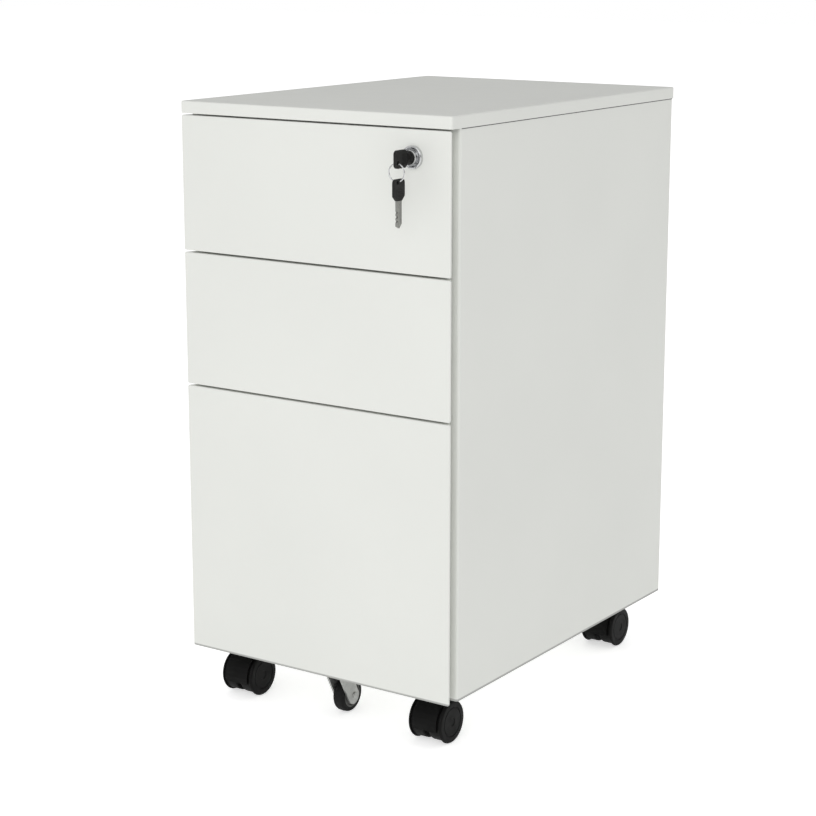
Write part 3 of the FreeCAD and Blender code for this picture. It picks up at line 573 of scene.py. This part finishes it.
def add_block(builder, low, high):
    """A box between two corners."""
    middle = (Vector(low) + Vector(high)) / 2
    size = Vector(high) - Vector(low)
    matrix = Matrix.Translation(middle) @ Matrix.Diagonal((*size, 1.0))
    bmesh.ops.create_cube(builder, size=1.0, matrix=matrix)


def add_tube(builder, path, radius, segments, closed=False, squash=1.0):
    """A round or flattened bar along a path that lies in a plane across its own axis."""
    rings = []
    count = len(path)
    for index, point in enumerate(path):
        before = path[index - 1] if closed or index > 0 else point
        after = path[(index + 1) % count] if closed or index < count - 1 else point
        heading = (after - before).normalized()
        side = heading.cross(Vector((0, 1, 0)))
        if side.length < 0.1:
            side = heading.cross(Vector((0, 0, 1)))
        side.normalize()
        up = side.cross(heading)
        ring = []
        for step in range(segments):
            turn = 2 * math.pi * step / segments
            offset = side * math.cos(turn) * radius + up * math.sin(turn) * radius * squash
            ring.append(builder.verts.new(point + offset))
        rings.append(ring)
    for start, end in zip(rings, rings[1:]):
        join_rings(builder, start, end)
    if closed:
        join_rings(builder, rings[-1], rings[0])
    else:
        builder.faces.new(rings[0])
        builder.faces.new(rings[-1])


def middle_of(node):
    low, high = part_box(node)
    return (low + high) / 2


# ---------------------------------------------------------------- carcass and drawers


class PEDESTAL_OT_carcass(bpy.types.Operator):
    """Paint the carcass and add its welds, swages and bumpers"""

    bl_idname = "pedestal.carcass"
    bl_label = "Carcass"

    def execute(self, context):
        edge = context.scene.pedestal_paint.edge
        dress("top_panel", "paint", edge)
        for node in ("side_panel_left", "side_panel_right"):
            # The side panels get painted shade along their lowest edge.
            dress(node, "paint_with_painted_foot_shade", edge)
        for node in ("back_panel", "base_panel", "top_rail", "uprights_left", "uprights_right"):
            dress(node, "paint", edge)
        add_top_seams()
        # Dark strips stand in for the shadow line under the top panel's skirt: painted shadow.
        add_skirt_shadow_strips()
        add_back_swages()
        add_bumpers()
        return {"FINISHED"}


def add_top_seams():
    """Filled weld seam down each corner of the top panel."""
    low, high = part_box("top_panel")
    inset = 0.95 * MM
    radius = 0.35 * MM
    foot_gap = 0.4 * MM
    head_gap = 1.6 * MM
    builder = bmesh.new()
    for across in (low.x + inset, high.x - inset):
        for back in (low.y + inset, high.y - inset):
            start = Vector((across, back, low.z + foot_gap))
            end = Vector((across, back, high.z - head_gap))
            add_tube(builder, [start, end], radius, 10)
    seams = to_object(builder, "top_corner_welds")
    fit_piece(seams, "carcass", "paint")


def add_skirt_shadow_strips():
    """Thin dark strip standing in for the shadow line in the gap between the top panel's skirt and the
    sheet below it, on both sides: a painted shadow.
    """
    low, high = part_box("side_panel_right")
    drop = 0.45 * MM
    inset = 2.0 * MM
    radius = 0.4 * MM
    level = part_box("top_panel")[0].z - drop
    builder = bmesh.new()
    for across in (-high.x, high.x):
        points = [Vector((across, back, level)) for back in (low.y + inset, high.y - inset)]
        add_tube(builder, points, radius, 10)
    shadow_strips = to_object(builder, "skirt_painted_shadow_strips")
    fit_piece(shadow_strips, "carcass", "stop")


def add_back_swages():
    """Stiffening ribs across the back panel, mostly inside it and a little proud outside."""
    low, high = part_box("back_panel")
    builder = bmesh.new()
    count = 3
    inner = high.y - 1.0 * MM
    inset = 0.03
    half_width = 3.0 * MM
    flatness = 0.45
    for step in range(count):
        level = low.z + (high.z - low.z) * (step + 0.7) / (count + 0.4)
        points = [Vector((x, inner, level)) for x in (low.x + inset, high.x - inset)]
        add_tube(builder, points, half_width, 24, squash=flatness)
    ribs = to_object(builder, "back_ribs")
    fit_piece(ribs, "carcass", "paint")


def add_bumpers():
    """Soft studs on the front rail that quieten the top drawer."""
    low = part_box("top_rail")[0]
    builder = bmesh.new()
    half_spacing = 0.08
    rise = 6 * MM
    for across in (-half_spacing, half_spacing):
        centre = Vector((across, low.y, low.z + rise))
        profile = [(0.4 * MM, 0.0), (0.4 * MM, 3.4 * MM), (-0.1 * MM, 3.3 * MM), (-0.5 * MM, 2.4 * MM)]
        profile.append((-0.6 * MM, 0.0))
        add_turned(builder, profile, "Y", centre, 28)
    studs = to_object(builder, "rail_bumpers")
    fit_piece(studs, "carcass", "stop")


class PEDESTAL_OT_drawers(bpy.types.Operator):
    """Paint the drawers and add tray rims and divider slots"""

    bl_idname = "pedestal.drawers"
    bl_label = "Drawers"

    def execute(self, context):
        edge = context.scene.pedestal_paint.edge
        for number in (1, 2, 3):
            # The lowest drawer front gets painted shade along its bottom edge.
            coat = "paint_with_painted_foot_shade" if number == 3 else "paint"
            dress("drawer_front_%d" % number, coat, edge, 50.0)
            dress("drawer_tray_%d" % number, "paint", edge)
            add_tray_rim(number)
            add_divider_tabs(number)
        for end in ("front", "rear"):
            dress("hanging_rail_" + end, "paint", edge)
        return {"FINISHED"}


def tray_inside(number):
    """Low and high corners of a tray's inside, at the level of its rim."""
    low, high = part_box("drawer_tray_%d" % number)
    name = "drawer_%d_inside" % number
    openings = frame["record"]["physics"]["openings"]
    opening_high = [item for item in openings if item["name"] == name][0]["box_m"][1]
    rim = opening_high[2]
    half = opening_high[0] + 0.8 * MM
    return Vector((-half, low.y + 0.5 * MM, low.z)), Vector((half, high.y - 0.5 * MM, rim))


def add_tray_rim(number):
    """Hemmed bead round the top of a tray's sides and back."""
    low, high = tray_inside(number)
    bead = 0.95 * MM
    level = high.z - 0.5 * MM
    start = low.y + 1.2 * MM
    path = [
        Vector((low.x, start, level)),
        Vector((low.x, high.y, level)),
        Vector((high.x, high.y, level)),
        Vector((high.x, start, level)),
    ]
    builder = bmesh.new()
    for first, second in zip(path, path[1:]):
        add_tube(builder, [first, second], bead, 14)
    rim = to_object(builder, "tray_rim_%d" % number)
    fit_piece(rim, "drawer_%d" % number, "paint")


def add_divider_tabs(number):
    """Pairs of lanced tabs inside a tray's walls that hold a divider plate."""
    low, high = tray_inside(number)
    builder = bmesh.new()
    count = 6
    tall = min(0.05, (high.z - low.z) * 0.45)
    foot = low.z + 10 * MM
    reach = 2.2 * MM
    half_gap = 1.6 * MM
    half_sheet = 0.4 * MM
    for side in (-1, 1):
        wall = side * (high.x - 0.5 * MM)
        inner = wall - side * reach
        for step in range(count):
            back = low.y + (high.y - low.y) * (step + 1.2) / (count + 1.4)
            for offset in (-half_gap, half_gap):
                low_x, high_x = sorted((wall, inner))
                add_block(
                    builder,
                    (low_x, back + offset - half_sheet, foot),
                    (high_x, back + offset + half_sheet, foot + tall),
                )
    tabs = to_object(builder, "divider_tabs_%d" % number)
    add_edge_round(tabs, 0.2 * MM)
    fit_piece(tabs, "drawer_%d" % number, "paint")


# ---------------------------------------------------------------- slides


class PEDESTAL_OT_slides(bpy.types.Operator):
    """Plate the slides and add their rivets and end stops"""

    bl_idname = "pedestal.slides"
    bl_label = "Slides"

    def execute(self, context):
        for number in (1, 2, 3):
            for kind in ("outer", "inner"):
                dress("slide_%s_%d" % (kind, number), "zinc", 0.25 * MM)
            add_slide_rivets(number)
            add_slide_stops(number)
        dress("slide_middle_3", "zinc", 0.25 * MM)
        return {"FINISHED"}


def dome(radius, height, steps=5):
    """Profile of a low dome, from its rim to its crown, as (along, radius)."""
    points = [(0.0, radius)]
    for step in range(1, steps):
        turn = math.pi / 2 * step / steps
        points.append((height * math.sin(turn), radius * math.cos(turn)))
    points.append((height, 0.0))
    return points


def add_slide_rivets(number):
    """Rivet heads that fasten each inner member to the tray, seen from inside the tray."""
    low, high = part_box("slide_inner_%d" % number)
    inside_high = tray_inside(number)[1]
    builder = bmesh.new()
    level = (low.z + high.z) / 2
    head = 3.2 * MM
    crown = 1.1 * MM
    root = 0.3 * MM
    for side in (-1, 1):
        wall = side * (inside_high.x - 0.45 * MM)
        for share in (0.12, 0.5, 0.88):
            back = low.y + (high.y - low.y) * share
            profile = [(-side * along, radius) for along, radius in dome(head, crown)]
            profile.insert(0, (side * root, head))
            profile.insert(0, (side * root, 0.0))
            add_turned(builder, profile, "X", Vector((wall, back, level)), 24)
    rivets = to_object(builder, "tray_rivets_%d" % number)
    fit_piece(rivets, "drawer_%d" % number, "zinc")


def add_slide_stops(number):
    """Plastic end blocks that close the rear of each inner member."""
    low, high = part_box("slide_inner_%d" % number)
    builder = bmesh.new()
    reach = 121.6 * MM
    length = 14 * MM
    margin = 1.7 * MM
    for side in (-1, 1):
        near, far = sorted((side * reach, side * (abs(high.x) - 0.6 * MM)))
        add_block(
            builder,
            (near, high.y - length, low.z + margin),
            (far, high.y - 0.6 * MM, high.z - margin),
        )
    stops = to_object(builder, "slide_stops_%d" % number)
    add_edge_round(stops, 0.8 * MM, 40.0, 3)
    fit_piece(stops, "drawer_%d" % number, "stop")


# ---------------------------------------------------------------- lock and keys


class PEDESTAL_OT_lock(bpy.types.Operator):
    """Make the lock's bezel and plug and dress its inner parts"""

    bl_idname = "pedestal.lock"
    bl_label = "Lock"

    def execute(self, context):
        add_bezel(context.scene.pedestal_lock.dish)
        add_plug_collar()
        dress("lock_plug", "plug", 0.3 * MM)
        for node in ("lock_housing", "lock_nut", "lock_cam", "lock_bar"):
            dress(node, "zinc", 0.25 * MM)
        return {"FINISHED"}


def add_bezel(dish):
    """Chrome ring with a rolled outer rim and a dished face."""
    low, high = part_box("lock_bezel")
    centre = middle_of("lock_bezel")
    centre.y = high.y
    outer = (high.x - low.x) / 2
    inner = 6.65 * MM
    depth = high.y - low.y
    rim = 1.0 * MM
    roll = 1.42 * MM
    recess = 0.1 * MM
    profile = [(0.0, inner), (0.0, outer)]
    profile += [
        (-(depth - rim) - along, radius)
        for radius, along in arc((outer - rim, 0.0), rim, 0, 115, 9)
    ]
    for step in range(1, 9):
        share = step / 8
        radius = outer - roll + (inner - outer + roll) * share
        sag = depth - recess - dish * math.sin(share * math.pi / 2)
        profile.append((-sag, radius))
    bezel = turned("lock_bezel_ring", profile, "Y", centre, 72, closed=True)
    fit_piece(bezel, "drawer_1", "chrome", ["lock_bezel"])


def add_plug_collar():
    """Bright sleeve round the nose of the plug, turned in over its face."""
    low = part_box("lock_plug")[0]
    centre = middle_of("lock_plug")
    centre.y = low.y
    outer = 6.4 * MM
    inner = 6.0 * MM
    length = 6.0 * MM
    lip = 4.5 * MM
    profile = [(length, inner), (length, outer)]
    profile += [(0.6 * MM, outer), (0.2 * MM, outer - 0.2 * MM), (0.02 * MM, outer - 0.6 * MM)]
    profile += [(0.02 * MM, lip), (0.6 * MM, lip), (0.6 * MM, inner)]
    collar = turned("plug_collar", profile, "Y", centre, 64, closed=True)
    fit_piece(collar, "lock_plug", "chrome")


class PEDESTAL_OT_keys(bpy.types.Operator):
    """Make the two keys and the split ring that joins them"""

    bl_idname = "pedestal.keys"
    bl_label = "Keys"

    def execute(self, context):
        lock = context.scene.pedestal_lock
        for number, body in ((1, "lock_plug"), (2, "key_2")):
            dress("key_%d_head" % number, "grip", 0.45 * MM, 50.0)
            dress("key_%d_blade" % number, "nickel", 0.12 * MM, 50.0)
            add_grip_panels(number, body)
            add_blade_ridges(number, body, lock.groove)
        add_split_ring(lock.ring_coils, lock.wire)
        return {"FINISHED"}


def add_grip_panels(number, body):
    """Raised ribs on both faces of a key's head."""
    low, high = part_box("key_%d_head" % number)
    along_y = number == 1
    first_rib = 0.52
    rib_step = 0.1
    margin = 0.2
    radius = 0.32 * MM
    builder = bmesh.new()
    size = high - low
    for side in (-1, 1):
        face = (low.x + high.x) / 2 + side * size.x / 2
        for step in range(4):
            share = first_rib + rib_step * step
            if along_y:
                start = Vector((face, low.y + size.y * share, low.z + size.z * margin))
                end = Vector((face, start.y, high.z - size.z * margin))
            else:
                start = Vector((face, low.y + size.y * margin, high.z - size.z * share))
                end = Vector((face, high.y - size.y * margin, start.z))
            add_tube(builder, [start, end], radius, 10)
    ribs = to_object(builder, "key_%d_ribs" % number)
    fit_piece(ribs, body, "grip")


def add_blade_ridges(number, body, depth):
    """Rolled ridges along both faces of a key's blade."""
    low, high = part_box("key_%d_blade" % number)
    builder = bmesh.new()
    size = high - low
    for side in (-1, 1):
        face = (low.x + high.x) / 2 + side * size.x / 2
        for share in (0.62, 0.78):
            if number == 1:
                level = low.z + size.z * share
                points = [Vector((face, y, level)) for y in (low.y + 0.2 * MM, high.y - 4 * MM)]
            else:
                back = low.y + size.y * share
                points = [Vector((face, back, z)) for z in (low.z + 4 * MM, high.z - 0.2 * MM)]
            add_tube(builder, points, depth, 8)
    ridges = to_object(builder, "key_%d_ridges" % number)
    fit_piece(ridges, body, "nickel")


def add_split_ring(coils, wire):
    """Flat wire wound round more than once, its ends lying side by side."""
    low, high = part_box("key_ring")
    centre = middle_of("key_ring")
    radius = (high.x - low.x) / 2 - wire / 2
    width = high.y - low.y
    pitch = width / (coils + 0.25)
    per_turn = 72
    first_end = math.radians(70)
    fill = 0.96
    steps = per_turn * coils
    path = []
    for step in range(steps + 1):
        turn = 2 * math.pi * step / per_turn + first_end
        offset = -width / 2 + pitch / 2 + (width - pitch) * step / steps
        path.append(centre + Vector((radius * math.cos(turn), offset, radius * math.sin(turn))))
    builder = bmesh.new()
    add_tube(builder, path, wire / 2, 12, squash=pitch / wire * fill)
    ring = to_object(builder, "split_ring", 50.0)
    fit_piece(ring, "key_ring", "chrome", ["key_ring"])


# ---------------------------------------------------------------- wheels


class PEDESTAL_OT_casters(bpy.types.Operator):
    """Make the casters' wheels and dress their frames and plates"""

    bl_idname = "pedestal.casters"
    bl_label = "Casters"

    def execute(self, context):
        wheels = context.scene.pedestal_wheels
        for caster in CASTERS:
            dress("caster_hood_" + caster, "nylon", 0.4 * MM, 50.0)
            dress("caster_axle_" + caster, "zinc", 0.2 * MM)
            dress("caster_mount_" + caster, "zinc", 0.3 * MM)
            for side, sign in LEFT_AND_RIGHT:
                add_caster_wheel(caster, side, sign, wheels)
        dress("caster_screws", "zinc", 0.0)
        add_screw_tops()
        return {"FINISHED"}


def add_caster_wheel(caster, side, sign, wheels):
    """Moulded wheel: covered tread, proud outer disc with a round rim, and a pressed-in cover."""
    node = "caster_%s_wheel_%s" % (caster, side)
    low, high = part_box(node)
    centre = middle_of(node)
    radius = (high.z - low.z) / 2
    width = high.x - low.x
    centre.x = low.x if sign > 0 else high.x
    groove = wheels.groove
    tread = 18.8 * MM
    disc = width - 2.5 * MM
    depth = width - 3.2 * MM
    rim = 2.2 * MM
    profile = [(depth, 0.0), (depth, AXLE_BORE), (0.0, AXLE_BORE), (0.0, 8.0 * MM), (1.2 * MM, 9.5 * MM)]
    profile += [(1.2 * MM, tread - 3.4 * MM), (0.0, tread - 2.2 * MM), (0.0, tread - 1.2 * MM)]
    profile += arc((1.2 * MM, tread - 1.2 * MM), 1.2 * MM, 180, 90, 5)[1:]
    profile += [(disc, tread), (disc, radius - 0.25 * MM)]
    profile += arc((width - rim, radius - rim), rim, 90, 0, 10)
    profile += [(width, 14.3 * MM), (width - groove, 14.0 * MM), (width - groove, 13.5 * MM)]
    profile += [(width - 0.1 * MM, 13.2 * MM), (width - 0.1 * MM, 4.2 * MM)]
    profile += [(width - groove, 3.8 * MM), (width - groove, 0.0)]
    profile = [(sign * along, radius_here) for along, radius_here in profile]
    wheel = turned("wheel_%s_%s" % (caster, side), profile, "X", centre, wheels.segments)
    body = "caster_%s_wheel_%s" % (caster, side)
    fit_piece(wheel, body, "wheel", [node])


def add_screw_tops():
    """Domed heads over the plate screws."""
    screw_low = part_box("caster_screws")[0]
    offset = 14.0 * MM
    sink = 0.6 * MM
    head = 3.1 * MM
    crown = 0.55 * MM
    root = 0.5 * MM
    builder = bmesh.new()
    for caster in CASTERS:
        low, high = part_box("caster_mount_" + caster)
        middle = (low + high) / 2
        for across in (-offset, offset):
            for back in (-offset, offset):
                centre = Vector((middle.x + across, middle.y + back, screw_low.z + sink))
                profile = [(-along, radius) for along, radius in dome(head, crown)]
                profile.insert(0, (root, head))
                profile.insert(0, (root, 0.0))
                add_turned(builder, profile, "Z", centre, 24)
    tops = to_object(builder, "plate_screw_heads")
    fit_piece(tops, "carcass", "zinc")


class PEDESTAL_OT_fifth_wheel(bpy.types.Operator):
    """Make the small wheel under the file drawer and dress its fork"""

    bl_idname = "pedestal.fifth_wheel"
    bl_label = "Fifth wheel"

    def execute(self, context):
        segments = context.scene.pedestal_wheels.segments
        dress("tip_wheel_fork", "fork", 0.45 * MM, 50.0)
        dress("tip_wheel_axle", "fork", 0.0)
        add_tip_tyre(segments)
        add_tip_hub(segments)
        return {"FINISHED"}


def outer_radius(node):
    """Outer radius of a wheel part, from its height."""
    low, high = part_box(node)
    return (high.z - low.z) / 2


def add_tip_tyre(segments):
    """Soft tyre with a crowned tread and rounded shoulders."""
    low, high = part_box("tip_wheel_tyre")
    centre = middle_of("tip_wheel_tyre")
    half = (high.x - low.x) / 2
    outer = (high.z - low.z) / 2
    inner = outer_radius("tip_wheel_hub")
    shoulder = 2.8 * MM
    profile = [(-half, inner)]
    profile += arc((-half + shoulder, outer - shoulder - 0.3 * MM), shoulder, 180, 95, 7)
    profile += [(0.0, outer)]
    profile += arc((half - shoulder, outer - shoulder - 0.3 * MM), shoulder, 85, 0, 7)
    profile += [(half, inner)]
    tyre = turned("tip_tyre", profile, "X", centre, segments, closed=True)
    fit_piece(tyre, "tip_wheel", "tyre", ["tip_wheel_tyre"])


def add_tip_hub(segments):
    """Grey hub with a dished web, a rim lip and a boss each side."""
    low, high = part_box("tip_wheel_hub")
    centre = middle_of("tip_wheel_hub")
    half = (high.x - low.x) / 2
    rim = (high.z - low.z) / 2
    face = 5.8 * MM
    boss = 5.0 * MM
    one_side = [(half, AXLE_BORE), (half, boss - 0.5 * MM), (half - 0.5 * MM, boss)]
    one_side += [(face - 1.2 * MM, boss + 0.4 * MM)]
    one_side += [(face - 1.6 * MM, boss + 1.2 * MM), (face - 1.6 * MM, rim - 1.6 * MM)]
    one_side += [(face - 0.2 * MM, rim - 1.3 * MM), (face, rim - 1.0 * MM), (face, rim)]
    other_side = [(-along, radius) for along, radius in reversed(one_side)]
    hub = turned("tip_hub", one_side + other_side, "X", centre, segments, closed=True)
    fit_piece(hub, "tip_wheel", "hub", ["tip_wheel_hub"])


# ---------------------------------------------------------------- stage


class PEDESTAL_OT_stage(bpy.types.Operator):
    """Lay the floor and set the lights and the camera"""

    bl_idname = "pedestal.stage"
    bl_label = "Stage"

    def execute(self, context):
        stage = context.scene.pedestal_stage
        add_floor(stage)
        add_room_light(stage)
        add_lights(stage)
        add_camera(stage)
        return {"FINISHED"}


def add_floor(stage):
    """Wide pale floor that gives off a little light of its own."""
    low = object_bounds()[0]
    size = 14.0
    builder = bmesh.new()
    corners = [(-size, -size), (size, -size), (size, size), (-size, size)]
    builder.faces.new([builder.verts.new((x, y, low.z)) for x, y in corners])
    floor = to_object(builder, "floor")
    material = new_material("pale_floor", tuple(stage.floor_colour), 0.9, specular=0.1)
    shader = shader_of(material)
    shader.inputs["Emission Color"].default_value = (1.0, 1.0, 1.0, 1.0)
    tree = material.node_tree
    path = tree.nodes.new("ShaderNodeLightPath")
    glow = tree.nodes.new("ShaderNodeMapRange")
    glow.inputs["To Min"].default_value = stage.floor_glow
    glow.inputs["To Max"].default_value = stage.floor_white
    tree.links.new(path.outputs["Is Camera Ray"], glow.inputs["Value"])
    tree.links.new(glow.outputs["Result"], shader.inputs["Emission Strength"])
    vary(material, "Roughness", add_noise(material, 0.3), 0.85, 0.95)
    floor.data.materials.append(material)
    floor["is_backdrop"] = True


def height_ramp(tree, stops):
    """Grey levels of the room by height: 0 straight down, 0.5 the horizon, 1 straight up."""
    place = tree.nodes.new("ShaderNodeTexCoord")
    parts = tree.nodes.new("ShaderNodeSeparateXYZ")
    span = tree.nodes.new("ShaderNodeMapRange")
    span.inputs["From Min"].default_value = -1.0
    ramp = tree.nodes.new("ShaderNodeValToRGB")
    points = ramp.color_ramp.elements
    while len(points) < len(stops):
        points.new(0.5)
    for point, (position, level) in zip(points, stops):
        point.position = position
        point.color = (level, level, level, 1.0)
    tree.links.new(place.outputs["Generated"], parts.inputs["Vector"])
    tree.links.new(parts.outputs["Z"], span.inputs["Value"])
    tree.links.new(span.outputs["Result"], ramp.inputs["Fac"])
    return ramp.outputs["Color"]


def add_room_light(stage):
    """Even white light from all round; the far wall itself looks white."""
    world = bpy.data.worlds.new("room")
    bpy.context.scene.world = world
    world.use_nodes = True
    tree = world.node_tree
    background = tree.nodes["Background"]
    background.inputs["Strength"].default_value = stage.sky
    wall = tree.nodes.new("ShaderNodeBackground")
    wall.inputs["Strength"].default_value = 1.0
    wall.inputs["Color"].default_value = (1.0, 1.0, 1.0, 1.0)
    path = tree.nodes.new("ShaderNodeLightPath")
    even = height_ramp(tree, DIFFUSE_ROOM)
    banded = height_ramp(tree, REFLECTED_ROOM)
    blend = tree.nodes.new("ShaderNodeMixRGB")
    tree.links.new(path.outputs["Is Glossy Ray"], blend.inputs["Fac"])
    tree.links.new(even, blend.inputs["Color1"])
    tree.links.new(banded, blend.inputs["Color2"])
    tree.links.new(blend.outputs["Color"], background.inputs["Color"])
    mix = tree.nodes.new("ShaderNodeMixShader")
    output = tree.nodes["World Output"]
    tree.links.new(path.outputs["Is Camera Ray"], mix.inputs["Fac"])
    tree.links.new(background.outputs["Background"], mix.inputs[1])
    tree.links.new(wall.outputs["Background"], mix.inputs[2])
    tree.links.new(mix.outputs["Shader"], output.inputs["Surface"])


def add_area_light(name, azimuth, elevation, distance, size, power):
    """Square soft light aimed at the middle of the cabinet."""
    low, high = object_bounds()
    target = (low + high) / 2
    turn = math.radians(azimuth)
    rise = math.radians(elevation)
    away = Vector((math.sin(turn) * math.cos(rise), -math.cos(turn) * math.cos(rise), math.sin(rise)))
    data = bpy.data.lights.new(name, "AREA")
    data.shape = "SQUARE"
    data.size = size
    data.energy = power
    lamp = bpy.data.objects.new(name, data)
    lamp.location = target + away * distance
    lamp.rotation_euler = away.to_track_quat("Z", "Y").to_euler()
    bpy.context.scene.collection.objects.link(lamp)


def add_lights(stage):
    add_area_light("key", azimuth=12.0, elevation=22.0, distance=2.6, size=1.8, power=stage.key)


def add_camera(stage):
    target = middle_of("top_panel") + Vector(stage.aim)
    turn = stage.azimuth
    rise = stage.elevation
    away = Vector((math.sin(turn) * math.cos(rise), -math.cos(turn) * math.cos(rise), math.sin(rise)))
    data = bpy.data.cameras.new("camera")
    data.sensor_width = 36.0
    data.lens = stage.lens
    data.shift_y = stage.raise_view
    data.clip_end = 60.0
    camera = bpy.data.objects.new("camera", data)
    camera.location = target + away * stage.distance
    camera.rotation_euler = away.to_track_quat("Z", "Y").to_euler()
    bpy.context.scene.collection.objects.link(camera)
    bpy.context.scene.camera = camera
    bpy.context.scene.view_settings.view_transform = "Standard"


# ---------------------------------------------------------------- panel and run


OPERATORS = (
    PEDESTAL_OT_carcass,
    PEDESTAL_OT_drawers,
    PEDESTAL_OT_slides,
    PEDESTAL_OT_lock,
    PEDESTAL_OT_keys,
    PEDESTAL_OT_casters,
    PEDESTAL_OT_fifth_wheel,
    PEDESTAL_OT_stage,
)

SETTINGS = {
    "pedestal_paint": PaintSettings,
    "pedestal_lock": LockSettings,
    "pedestal_wheels": WheelSettings,
    "pedestal_stage": StageSettings,
}


class PEDESTAL_PT_panel(bpy.types.Panel):
    """Sidebar panel with the cabinet's steps and settings"""

    bl_label = "Rolling pedestal"
    bl_idname = "PEDESTAL_PT_panel"
    bl_space_type = "VIEW_3D"
    bl_region_type = "UI"
    bl_category = "Pedestal"

    def draw(self, context):
        layout = self.layout
        for operator in OPERATORS:
            layout.operator(operator.bl_idname)
        for name, group in SETTINGS.items():
            box = layout.box()
            box.label(text=group.__doc__)
            for field in group.__annotations__:
                box.prop(getattr(context.scene, name), field)


def register():
    for group in SETTINGS.values():
        bpy.utils.register_class(group)
    for name, group in SETTINGS.items():
        setattr(bpy.types.Scene, name, PointerProperty(type=group))
    for operator in OPERATORS:
        bpy.utils.register_class(operator)
    bpy.utils.register_class(PEDESTAL_PT_panel)


def unregister():
    bpy.utils.unregister_class(PEDESTAL_PT_panel)
    for operator in reversed(OPERATORS):
        bpy.utils.unregister_class(operator)
    for name in SETTINGS:
        delattr(bpy.types.Scene, name)
    for group in reversed(list(SETTINGS.values())):
        bpy.utils.unregister_class(group)


def main():
    register()
    for operator in OPERATORS:
        group, name = operator.bl_idname.split(".")
        getattr(getattr(bpy.ops, group), name)()


if __name__ == "__main__":
    main()
